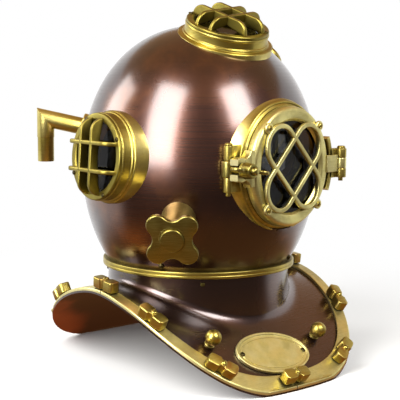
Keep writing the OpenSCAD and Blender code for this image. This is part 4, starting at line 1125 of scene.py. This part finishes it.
class HELMET_OT_barrel(HelmetStep, bpy.types.Operator):
    """Conical front barrel with its hinge arms and the ears of the swing bolt, and both pins"""
    bl_idname = "helmet.barrel"
    bl_label = "Front barrel"

    def execute(self, context):
        s = read_sizes()
        y, door, lip = s.barrel_y, at_door(s), 2.6
        cone = on_copper(s, door, s.port_r, s.barrel_r,
                         [[s.barrel_r + lip * s.barrel_cone, y - lip], [s.barrel_r - 0.4, y - 1.2],
                          [s.port_r, y - 1.2]],
                         0.9, 256, span=(60.0, 170.0), cone=s.barrel_cone, face=y)
        neck = placed(lathe([[s.barrel_bore, y - 16], [s.port_r, y - 16], [s.port_r, y - 1.9],
                             [s.port_r - 3, y], [s.barrel_bore, y]], 0.6, 256), door)
        parts = [cone, neck]
        half = 8.5
        ear = joined(block(0, 18, -4.5, 7.5, -half, half, 1.0), cylinder(5.6, -half, half, 1.0))
        for side in (-1, 1):
            flip = shift(0, 0, s.door_z) @ np.diag([1.0, 1, side, 1])
            parts.append(placed(self.hinge_arm(s), flip))
            level = s.latch_z + side * (s.ear_gap + half)
            parts.append(placed(ear, shift(s.latch_x, s.latch_y, level)))
        make_piece("barrel_casting", joined(*parts), "brass", "bonnet", ["front_barrel"])
        reach = s.knuckle_gap + s.arm_h
        self.pin("hinge_pin", s.hinge_pin_r, s.knuckle_r - 1.4, (s.hinge_x, -s.door_face),
                 s.door_z - reach - 0.2, s.door_z + reach + 0.1)
        reach = s.ear_gap + 2 * half
        self.pin("latch_pin", 3.0, 4.6, (s.latch_x, s.latch_y), s.latch_z - reach,
                 s.latch_z + reach + 0.1)
        return {"FINISHED"}

    def hinge_arm(self, s):
        """A knuckle, its arm, and a leaf that follows the barrel's rim from the middle outwards."""
        g, leaf_w = s.knuckle_gap, 7
        knuckle = placed(cylinder(s.knuckle_r, g, g + s.arm_h, 1.2), shift(s.hinge_x, -s.door_face, 0))
        arm = block(s.leaf_r, s.hinge_x, -s.arm_back, leaf_w - s.arm_back, g, g + s.arm_h, 1.0)
        r = s.leaf_r + leaf_w / 2
        a = np.linspace(math.asin(g / r), math.asin((g + s.leaf_h) / r), 14)
        path = np.stack([r * np.cos(a), r * np.sin(a)], 1)
        leaf = band(path, box_profile(leaf_w, s.barrel_y - 14, s.arm_back, 1.2), False)
        return joined(knuckle, arm, placed(leaf, turn("X", 90)))

    def pin(self, name, r, head, spot, low, top):
        """A turned pin with a thinner tip and a bevelled head."""
        tip_r, tip_l, bevel, head_h = r - 0.3, 4, 1.4, 3
        shape = lathe([[0, low - tip_l], [tip_r, low - tip_l], [tip_r, low], [r, low], [r, top],
                       [head, top], [head, top + head_h - bevel], [head - bevel, top + head_h],
                       [0, top + head_h]], 0.5, 40)
        make_piece("turned_" + name, placed(shape, shift(*spot, 0)), "screw_brass", "bonnet",
                   [name])


class HELMET_OT_door(HelmetStep, bpy.types.Operator):
    """Front door with its forked lug and hinge lug, its guard of two crossing loops and its screws"""
    bl_idname = "helmet.door"
    bl_label = "Front door"
    tabs = (45, 135, 225, 315)

    def execute(self, context):
        s = read_sizes()
        door, face = at_door(s), s.door_face
        hole, r, seat, lip = s.door_hole_r, s.door_r, s.glass_r + 0.3, face - 3.6
        ring = lathe([[hole, lip], [hole, face - 3], [hole + 2.6, face - 0.6], [hole + 4.6, face],
                      [r - 4.6, face], [r - 1.4, face - 1.6], [r, face - 4.4], [r, s.door_back],
                      [seat, s.door_back], [seat, lip]],
                     [0.2, 0.6, 1.4, 1.6, 2.0, 1.2, 1.2, 0.8, 0.2, 0.2], 256)
        g = s.knuckle_gap - 0.3
        strap_half, proud, under = 10.5, 1.6, 1.8
        lug = joined(block(r - 3, s.hinge_x - 4, -face, -face + s.door_t - 1.6, -g, g, 1.0),
                     placed(cylinder(s.knuckle_r, -g, g, 1.0), shift(s.hinge_x, -face, 0)),
                     block(r - 5, r + 17, -face - proud, -face + under, -strap_half, strap_half, 0.9))
        fork = placed(self.fork(s), shift(s.latch_x, 0, s.latch_z) @ turn("X", 90))
        make_piece("door_casting", joined(placed(ring, door), placed(lug, shift(0, 0, s.door_z)), fork),
                   "rim_brass", "front_door", ["front_door"])
        guard = placed(self.guard(s), door @ shift(0, 0, face + 0.1))
        make_piece("door_loops", guard, "rim_brass", "front_door", ["door_guard"])
        screw = slotted_screw(head_r=3.2, head_h=2.2, depth=3.2, shank_r=1.7)
        spots = [door @ shift(0, 0, face + s.bar_t - 0.6) @ turn("Z", a) @ shift(s.tab_r, 0, 0)
                 for a in self.tabs]
        make_piece("loop_screws", placed(screw, *spots), "screw_brass", "front_door",
                   ["door_guard_screws"])
        return {"FINISHED"}

    def fork(self, s):
        """Two prongs round the bolt's slot and a base that flares into the ring. Its half height is
        the boss sqrt(R^2 - x^2), then 26 - sqrt(R^2 - (x - 3)^2)."""
        big, slot, waist, widest = 14.0, s.shank_r + 0.8, 6.4, 21.0

        def edge(x):
            boss = np.sqrt(np.clip(big ** 2 - x ** 2, 0, None))
            flare = 26 - np.sqrt(np.clip(big ** 2 - (x - 3) ** 2, 0, None))
            return np.minimum(np.where(x < waist, boss, flare), widest)

        x = np.linspace(-7, 6, 27)
        inner = np.where(x < 0, slot, np.sqrt(np.clip(slot ** 2 - x ** 2, 0, None)))
        inner = np.where(x > 0.9 * slot, 0.5 * slot * np.sqrt(np.clip(1 - (x / 6.2) ** 2, 0, None)), inner)
        upper = slab(x, inner, edge(x), s.door_back, s.door_face, 1.1)
        lower = placed(upper, np.diag([1.0, -1, 1, 1]))
        x = np.linspace(slot + 0.3, 22, 30)
        return joined(upper, lower, slab(x, -edge(x), edge(x), s.door_back, s.door_face, 1.1))

    def guard(self, s):
        """Each loop is a bar along two half circles joined by straights; the four tabs carry screws."""
        r = s.loop_r - s.bar_w / 2
        a = np.linspace(-np.pi / 2, np.pi / 2, 40)
        half = np.stack([s.loop_reach + r * np.cos(a), r * np.sin(a)], 1)
        path = np.concatenate([half, -half])
        parts = []
        for k, angle in enumerate((45, -45)):
            bar = band(path, box_profile(s.bar_w, 0.05 * k, s.bar_t - 0.08 * k, 1.3))
            parts.append(placed(bar, turn("Z", angle)))
        a = np.linspace(-np.pi / 2, np.pi / 2, 20)
        root = s.loop_reach + s.loop_r - 4
        eye = np.stack([s.tab_r + 6 * np.cos(a), 6 * np.sin(a)], 1)
        half = 4.6
        tab = prism(np.concatenate([[[root, -half]], eye, [[root, half]]]), 0.0, s.bar_t - 0.8, 1.0)
        parts.append(placed(tab, *[turn("Z", a) for a in self.tabs]))
        return joined(*parts)


class HELMET_OT_latch(HelmetStep, bpy.types.Operator):
    """Swing bolt with its eye, washer and wing nut"""
    bl_idname = "helmet.latch"
    bl_label = "Swing bolt"

    def execute(self, context):
        s = read_sizes()
        h = s.ear_gap - 0.3
        eye = placed(cylinder(s.eye_r, -h, h, 1.4), shift(s.latch_x, s.latch_y, s.latch_z))
        end = s.nut_y + 20
        level = np.linspace(-s.latch_y + 2, end - 1.2, 400)
        pitch, half_depth, thread_start = 1.6, 0.14, s.door_face - 6
        groove = half_depth * (1 - np.cos(2 * np.pi * level / pitch))
        radius = s.shank_r - np.where(level > thread_start, groove, 0)
        profile = np.concatenate([[[0, level[0]]], np.stack([radius, level], 1),
                                  [[s.shank_r - 0.8, end - 0.4], [s.shank_r - 1.6, end], [0, end]]])
        shank = turned(profile, 40, closed=False)
        make_piece("eye_bolt", joined(eye, placed(shank, on_bolt(s))), "valve_brass", "swing_bolt",
                   ["swing_bolt"])
        bore, washer_r, washer_top = s.shank_r + 0.06, 9, s.nut_y + 2.2
        washer = lathe([[bore, s.nut_y], [washer_r, s.nut_y], [washer_r, washer_top],
                        [bore, washer_top]], 0.5, 64)
        make_piece("flat_washer", placed(washer, on_bolt(s)), "valve_brass", "bolt_washer",
                   ["bolt_washer"])
        place = on_bolt(s) @ shift(0, 0, s.nut_y + 2.5)
        hub = lathe([[bore, 0], [9.4, 0], [9.4, 2], [8, 12], [bore, 12]], 0.9, 64)
        wings = [place @ turn("Z", -8) @ np.diag([float(k), 1, 1, 1]) @ turn("X", 90) for k in (-1, 1)]
        nut = joined(placed(hub, place), placed(self.wing(s), *wings))
        make_piece("winged_nut", nut, "valve_brass", "wing_nut", ["wing_nut"])
        return {"FINISHED"}

    def wing(self, s):
        """A round ear on a tapering root, as thick as the CAD's wing."""
        r, half_t = 7.4, 2.2
        far = s.wing_span - r
        a = np.radians(np.linspace(-105, 150, 30))
        ear = np.stack([far + r * np.cos(a), r + r * np.sin(a)], 1)
        root = [[10, 9.8], [5.5, 10.4]]
        return prism(np.concatenate([[[5.5, 2.2]], ear, root]), -half_t, half_t, 1.5, 4)


class HELMET_OT_windows(HelmetStep, bpy.types.Operator):
    """Three fixed windows: rings on the copper, finned guards and their screws"""
    bl_idname = "helmet.windows"
    bl_label = "Fixed windows"

    def execute(self, context):
        s = read_sizes()
        spots = []
        side = (s.side_flange_r, s.side_step_h, 90)
        windows = (("top", at_top(s), s.top_flange_r, s.top_step_h, 0), ("right", at_right(s), *side),
                   ("left", at_left(s), *side))
        screw_at, first, seat = (s.step_r + s.recess_r) / 2 - 0.4, 27, 0.05
        for name, place, flange, h, quarter in windows:
            make_piece(name + "_ring", self.ring(s, place, flange, h), "brass", "bonnet",
                       [name + "_window"])
            make_piece(name + "_fins", placed(self.guard(s, quarter, h), place), "guard_brass",
                       "bonnet", [name + "_guard"])
            spots += [place @ turn("Z", first + 90 * k) @ shift(screw_at, 0, h + seat)
                      for k in range(4)]
        screw = slotted_screw(head_r=2.6, head_h=1.5, depth=0.4, shank_r=1.0)
        make_piece("fin_screws", placed(screw, *spots), "dark_screw", "bonnet",
                   ["guard_screws"])
        return {"FINISHED"}

    def ring(self, s, place, flange, h):
        """A flange on the copper, a stepped wall with a bead, and the neck through the copper."""
        w, top = s.step_r, h - 4.2
        edge = [[flange, -1.2], [flange - 1.0, 0.1]]
        foot_roll = [[w + 2.4, 0.2], [w + 1.5, 0.9], [w + 1.9, 1.8], [w + 1.4, 3.0], [w, 3.8]]
        bead = [[w, h - 7.2], [w + 0.5, h - 6.8], [w + 0.5, h - 5.2], [w, h - 4.6]]
        profile = [*edge, *foot_roll, *bead, [w, top], [s.recess_r, top]]
        wall = on_copper(s, place, s.recess_r, flange, profile, 0.5, 256, shelf=2.0)
        low, high = -16, 0.6
        neck = lathe([[s.pane_hole_r, low], [s.hole_r, low], [s.hole_r, high], [s.pane_hole_r, high]],
                     0.3, 192)
        return joined(wall, placed(neck, place))

    def guard(self, s, quarter, h):
        """A flat ring and four upright fins. A fin's outline climbs by a quarter circle to a level
        top, and its foot is hollowed by a low arch."""
        r, gap, under_ring, shoulder, inner, arch = s.recess_r, 0.2, 8.7, h - 4.1, s.pane_hole_r + 1.5, 4
        w = s.step_r - gap
        parts = [lathe([[inner, under_ring], [r - gap, under_ring], [r - gap, shoulder], [w, shoulder],
                        [w, h - 1.2], [w - 1, h - 0.1], [s.pane_hole_r + 3.6, h], [inner, h - 1.6]],
                       0.7, 192)]
        for across, apart in ((0, s.fin_near), (90, s.fin_far)):
            reach = math.sqrt(r ** 2 - apart ** 2)
            a = np.linspace(0, np.pi / 2, 14)
            right = np.stack([reach - s.fin_h + s.fin_h * np.cos(a), s.fin_h * np.sin(a)], 1)
            over = np.concatenate([right, right[::-1] * [-1, 1]])
            foot = reach - 8
            x = np.linspace(-foot, foot, 30)
            under = np.stack([x, arch * (1 - (x / foot) ** 2)], 1)
            fin = prism(np.concatenate([over, under]), -s.fin_t / 2, s.fin_t / 2, 1.5, 4)
            parts.append(placed(fin, *[turn("Z", quarter + across) @ shift(k * apart, 0, h - 0.4)
                                       @ turn("Z", 90) @ turn("X", 90) for k in (-1, 1)]))
        return joined(*parts)


class HELMET_OT_valve(HelmetStep, bpy.types.Operator):
    """Exhaust valve body, lobed hand wheel and cap, and the speaker cup"""
    bl_idname = "helmet.valve"
    bl_label = "Valve and cup"

    def execute(self, context):
        s = read_sizes()
        place, r, z = at_exhaust(s), s.exhaust_r, s.bridge_z
        bore, seat_r, seat = 12, 15.2, 7.7
        body = on_copper(s, place, bore, r, [[r, z - 1.4], [r - 1.4, z], [seat_r, z], [seat_r, seat],
                                             [bore, seat]], 1.0, 96)
        make_piece("valve_barrel", body, "brass", "bonnet", ["exhaust_body"])
        under, ring_in, ring_out = 1.2, 13.9, 15.2
        base = s.exhaust_out - under
        face = base + s.wheel_t
        wheel = prism(self.lobes(s), base, face, 1.5, 5)
        rim = lathe([[ring_in, face - 1.2], [ring_out, face - 0.4], [ring_out, face + 0.05],
                     [ring_in, face + 0.05]], 0.2, 64)
        make_piece("lobed_wheel", placed(joined(wheel, rim), place), "valve_brass", "exhaust_wheel",
                   ["exhaust_wheel"])
        low, cap_r, cap_h = face - 2.3, 13.6, 5.2
        cap = lathe([[0, low], [cap_r, low], [cap_r, low + cap_h - 1.2], [cap_r - 1, low + cap_h],
                     [0, low + cap_h - 0.1]], 1.0, 96)
        make_piece("wheel_button", placed(cap, place), "valve_brass", "exhaust_wheel",
                   ["wheel_cap"])
        r, h, wall = s.cup_r, s.cup_h, 3
        cup = on_copper(s, at_cup(s), r - wall, r + wall,
                        [[r + wall, 1.2], [r + 1.8, 2.6], [r, 3.6], [r, h - 5], [r - 1.6, h - 1.4],
                         [r - 6, h], [0, h], [0, h - wall], [r - wall, h - wall]],
                        [0.8] * 6 + [0] * 3, 128)
        make_piece("speaker_cover", cup, "brass", "bonnet", ["speaker_cup"])
        return {"FINISHED"}

    def lobes(self, s):
        """Four arcs of radius r round the lobes' middles (a, a), joined by hollow arcs of radius
        R = ((w - a)^2 + a^2 - r^2) / (2 (r - w + a)) that touch them and pass through the waist w."""
        r, a, w = s.lobe_r, s.lobe_at, s.waist_r
        hollow = ((w - a) ** 2 + a ** 2 - r ** 2) / (2 * (r - w + a))
        swing = math.atan2(w + hollow - a, a)
        u = np.linspace(swing - np.pi / 2, np.pi - swing, 40)
        v = np.linspace(-swing, swing - np.pi, 22)[1:-1]
        quarter = np.concatenate([np.stack([a + r * np.cos(u), a + r * np.sin(u)], 1),
                                  np.stack([hollow * np.cos(v), w + hollow + hollow * np.sin(v)], 1)])
        turns = [quarter @ turn("Z", k)[:2, :2].T for k in (0, 90, 180, 270)]
        return np.concatenate(turns)


class HELMET_OT_elbows(HelmetStep, bpy.types.Operator):
    """Two rear elbows, each a rising arm brazed at a mitre to the spigot that drops from it"""
    bl_idname = "helmet.elbows"
    bl_label = "Rear elbows"

    def execute(self, context):
        s = read_sizes()
        for side, name in ((-1, "air"), (1, "phone")):
            arm, spigot = self.pair(s, side)
            make_piece(name + "_bend", arm, "brass", "bonnet", [name + "_elbow"])
            make_piece(name + "_tail", spigot, "brass", "bonnet", [name + "_spigot"])
        return {"FINISHED"}

    def pair(self, s, side):
        """Tubes whose rows (radius, level) run along their axes. A row without a level lies on the
        mitre plane through the corner, whose normal halves the angle between the two axes."""
        u = np.linspace(0, 2 * np.pi, 64, endpoint=False)
        corner = at_elbow(side) @ shift(s.elbow_out, 0, s.mid_z + s.elbow_rise)
        path = elbow_path(s, side)
        along, down = path[:3, 2], np.array([0.0, 0, -1])
        normal = (along + down) / np.linalg.norm(along + down)

        def tube(place, direction, rows):
            out = []
            for r, z in rows:
                level = np.full(len(u), 0.0 if z is None else z)
                ring = np.stack([r * np.cos(u), r * np.sin(u), level], -1)
                ring = ring @ place[:3, :3].T + place[:3, 3]
                if z is None:
                    away = (corner[:3, 3] - ring) @ normal / (direction @ normal)
                    ring = ring + direction * away[:, None]
                out.append(ring)
            return grid(np.stack(out, 1))

        r, bore, foot_r = s.elbow_r, s.elbow_bore_r, s.elbow_r + 6
        face = foot(s, path, r, u, 1.0, -100.0, -20.0).mean()
        flange = [(foot_r - 0.8, face - 1.0), (foot_r, -50.0), (foot_r, -47.6), (foot_r - 0.9, -46.7)]
        braze = [(r + 1.4, -46.5), (r + 0.4, -45.8), (r, -44.6)]
        arm = tube(path, along, [(bore, face), *flange, *braze, (r, None), (bore, None)])
        low, step = -s.elbow_drop, s.tail_l - s.elbow_drop
        tail = tube(corner, -down, [(bore, None), (r, None), (r, step + 0.8), (r - 0.4, step),
                                    (s.tail_r, step - 0.3), (s.tail_r, low + 0.8),
                                    (s.tail_r - 0.6, low), (bore, low)])
        return arm, tail


def direction(azimuth, elevation):
    """The unit vector towards an azimuth, counted from the front, and an elevation."""
    return np.array([math.sin(azimuth) * math.cos(elevation), -math.cos(azimuth) * math.cos(elevation),
                     math.sin(elevation)])


class HELMET_OT_stage(HelmetStep, bpy.types.Operator):
    """Camera, plain pale floor, white background and soft boxes"""
    bl_idname = "helmet.stage"
    bl_label = "Stage"

    def execute(self, context):
        self.camera(context)
        self.floor()
        self.world(context)
        self.lamps()
        self.drape()
        context.scene.view_settings.view_transform = "Standard"
        return {"FINISHED"}

    def camera(self, context):
        """Stands on the line from the target at the photograph's azimuth and elevation. The lens
        and the shift are given in pixels of the photograph's frame."""
        azimuth, elevation, roll = math.radians(-46.69), math.radians(6.98), math.radians(0.48)
        away, target = 1.3265, np.array([0.0, 0.0, 0.199])
        frame_px, lens_px, right_px, up_px, sensor_mm = 400, 1040.4, 1.2, 2.7, 36.0
        back = direction(azimuth, elevation)
        data = bpy.data.cameras.new("camera")
        data.sensor_width = sensor_mm
        data.lens = sensor_mm * lens_px / frame_px
        data.shift_x, data.shift_y = right_px / frame_px, up_px / frame_px
        data.clip_end = 50
        side = np.cross([0.0, 0.0, 1.0], back)
        side /= np.linalg.norm(side)
        up = np.cross(back, side)
        m = np.eye(4)
        m[:3, 0] = side * math.cos(roll) + up * math.sin(roll)
        m[:3, 1] = up * math.cos(roll) - side * math.sin(roll)
        m[:3, 2], m[:3, 3] = back, target + back * away
        camera = shown("camera", data)
        camera.matrix_world = Matrix(m.tolist())
        context.scene.camera = camera

    def floor(self):
        """A pale round floor that turns white away from the object for the camera."""
        steps, rings = 96, np.array([0.0, 200, 600, 1500, 4000])
        surface = turned(np.stack([rings, 0 * rings], 1), steps, closed=False)
        n = Nodes("pale_floor")
        away = n.add("ShaderNodeVectorMath", operation="LENGTH")
        n.put(away.inputs[0], n.where)
        fade = n.ramp(away.outputs["Value"], 0.26, 0.85)
        path = n.add("ShaderNodeLightPath")
        seen = n.maths("MAXIMUM", path.outputs["Is Camera Ray"], n.maths(
            "MAXIMUM", path.outputs["Is Glossy Ray"], path.outputs["Is Transmission Ray"]))
        plain = n.add("ShaderNodeBsdfDiffuse", Color=(0.80, 0.79, 0.77))
        white = n.add("ShaderNodeEmission", Color=(1, 1, 1), Strength=1.0)
        mirrored = self.floor_in_reflections(n, away.outputs["Value"])
        mix = n.blend(n.maths("MULTIPLY", fade, seen), plain.outputs[0], white.outputs[0])
        final = n.blend(path.outputs["Is Glossy Ray"], mix, mirrored)
        n.put(n.out.inputs["Surface"], final)
        mesh = new_mesh("floor", surface, n.material)
        if mesh.polygons[0].normal.z < 0:
            mesh.flip_normals()
        shown("floor", mesh)

    def floor_in_reflections(self, n, away):
        """What the metal mirrors: warm brown near the helmet, dark in the half turn before the
        camera, where the angle from the sector's middle stays small, and white elsewhere."""
        middle = math.radians(-130)
        ahead = n.add("ShaderNodeVectorMath", operation="DOT_PRODUCT")
        n.put(ahead.inputs[0], n.where)
        ahead.inputs[1].default_value = (math.cos(middle), math.sin(middle), 0)
        facing = n.maths("DIVIDE", ahead.outputs["Value"], n.maths("MAXIMUM", away, 0.001))
        dark = n.mix(n.ramp(facing, 0.0, 0.25), (1.0, 1.0, 1.0), (0.10, 0.075, 0.06))
        shade = n.mix(n.ramp(away, 0.30, 0.62), (0.36, 0.17, 0.055), dark)
        return n.add("ShaderNodeEmission", Strength=1.0, Color=shade).outputs[0]

    def world(self, context):
        """Plain white for the camera and in metal and glass, and a softer white light."""
        world = bpy.data.worlds.new("studio")
        context.scene.world = world
        world.use_nodes = True
        tree = world.node_tree
        tree.nodes.clear()
        path = tree.nodes.new("ShaderNodeLightPath")
        seen = path.outputs["Is Camera Ray"]
        for name in ("Is Glossy Ray", "Is Transmission Ray"):
            most = tree.nodes.new("ShaderNodeMath")
            most.operation = "MAXIMUM"
            tree.links.new(seen, most.inputs[0])
            tree.links.new(path.outputs[name], most.inputs[1])
            seen = most.outputs[0]
        mix = tree.nodes.new("ShaderNodeMixShader")
        tree.links.new(seen, mix.inputs[0])
        for socket, strength in zip(mix.inputs[1:], (0.55, 1.0)):
            back = tree.nodes.new("ShaderNodeBackground")
            back.inputs["Color"].default_value = (1, 1, 1, 1)
            back.inputs["Strength"].default_value = strength
            tree.links.new(back.outputs[0], socket)
        out = tree.nodes.new("ShaderNodeOutputWorld")
        tree.links.new(mix.outputs[0], out.inputs["Surface"])

    def lamps(self):
        """Soft boxes on a circle round the object, each turned to its middle. Their power grows
        with their area, so that `glow` alone sets how bright they look in the metal."""
        middle, away = np.array([0, 0, 0.25]), 1.7
        boxes = (("box_side", -84, 27, 0.85, 1.75, 12.0), ("box_rear", -147, 24, 0.70, 0.95, 6.0),
                 ("box_front", -2, 38, 0.70, 0.90, 12.0))
        for name, azimuth, elevation, width, height, glow in boxes:
            back = direction(math.radians(azimuth), math.radians(elevation))
            data = bpy.data.lights.new(name, "AREA")
            data.shape = "RECTANGLE"
            data.size, data.size_y = width, height
            data.energy = glow * math.pi * width * height
            lamp = shown(name, data)
            lamp.location = middle + back * away
            lamp.rotation_mode = "QUATERNION"
            lamp.rotation_quaternion = Vector((-back).tolist()).to_track_quat("-Z", "Y")

    def drape(self):
        """A dark curved drape behind the camera that only reflections show, (R cos u, R sin u, z),
        and a dim ceiling over it."""
        r, top, half, ceiling = 2600.0, 2600, 4000, 2700
        u = np.radians(np.linspace(-215, -47, 60))[:, None]
        z = np.linspace(-10, top, 4)
        points = np.stack([r * np.cos(u) + 0 * z, r * np.sin(u) + 0 * z, 0 * u + z], -1)
        curtain = grid(points, wrap_u=False, wrap_v=False)
        corners = [[[x, y, ceiling] for y in (-half, half)] for x in (-half, half)]
        roof = grid(np.array(corners, float), wrap_u=False, wrap_v=False)
        cloth, above = Nodes("dark_drape"), Nodes("dim_ceiling")
        cloth.surface("ShaderNodeEmission", Color=(1.0, 0.80, 0.72), Strength=0.20)
        above.surface("ShaderNodeEmission", Color=(1.0, 0.58, 0.28), Strength=0.5)
        mesh = new_mesh("drape", joined(curtain, roof), cloth.material)
        mesh.materials.append(above.material)
        mesh.polygons[-1].material_index = 1
        drape = shown("drape", mesh)
        for ray in ("camera", "diffuse", "shadow", "transmission", "volume_scatter"):
            setattr(drape, "visible_" + ray, False)


STEPS = (HELMET_OT_finishes, HELMET_OT_bonnet, HELMET_OT_bonnet_ring, HELMET_OT_breastplate,
         HELMET_OT_rim, HELMET_OT_clamps, HELMET_OT_chest, HELMET_OT_barrel, HELMET_OT_door,
         HELMET_OT_latch, HELMET_OT_windows, HELMET_OT_valve, HELMET_OT_elbows, HELMET_OT_stage)


class HELMET_PT_panel(bpy.types.Panel):
    """Lists the steps and the sizes of the helmet"""
    bl_label = "Diving helmet"
    bl_idname = "HELMET_PT_panel"
    bl_space_type = "VIEW_3D"
    bl_region_type = "UI"
    bl_category = "Helmet"

    def draw(self, context):
        column = self.layout.column(align=True)
        for step in STEPS:
            column.operator(step.bl_idname)
        for part in (*PARTS, "colours"):
            group = getattr(context.scene, "helmet_" + part)
            box = self.layout.box()
            for name in group.__annotations__:
                box.prop(group, name)


GROUPS = {"plate": HELMET_PG_plate, "bonnet": HELMET_PG_bonnet, "window": HELMET_PG_window,
          "colours": HELMET_PG_colours}


def register():
    for name, group in GROUPS.items():
        bpy.utils.register_class(group)
        setattr(bpy.types.Scene, "helmet_" + name, bpy.props.PointerProperty(type=group))
    for step in (*STEPS, HELMET_PT_panel):
        bpy.utils.register_class(step)


def unregister():
    for step in reversed((*STEPS, HELMET_PT_panel)):
        bpy.utils.unregister_class(step)
    for name, group in reversed(GROUPS.items()):
        delattr(bpy.types.Scene, "helmet_" + name)
        bpy.utils.unregister_class(group)


def main():
    register()
    for step in STEPS:
        family, name = step.bl_idname.split(".")
        getattr(getattr(bpy.ops, family), name)()


if __name__ == "__main__":
    main()
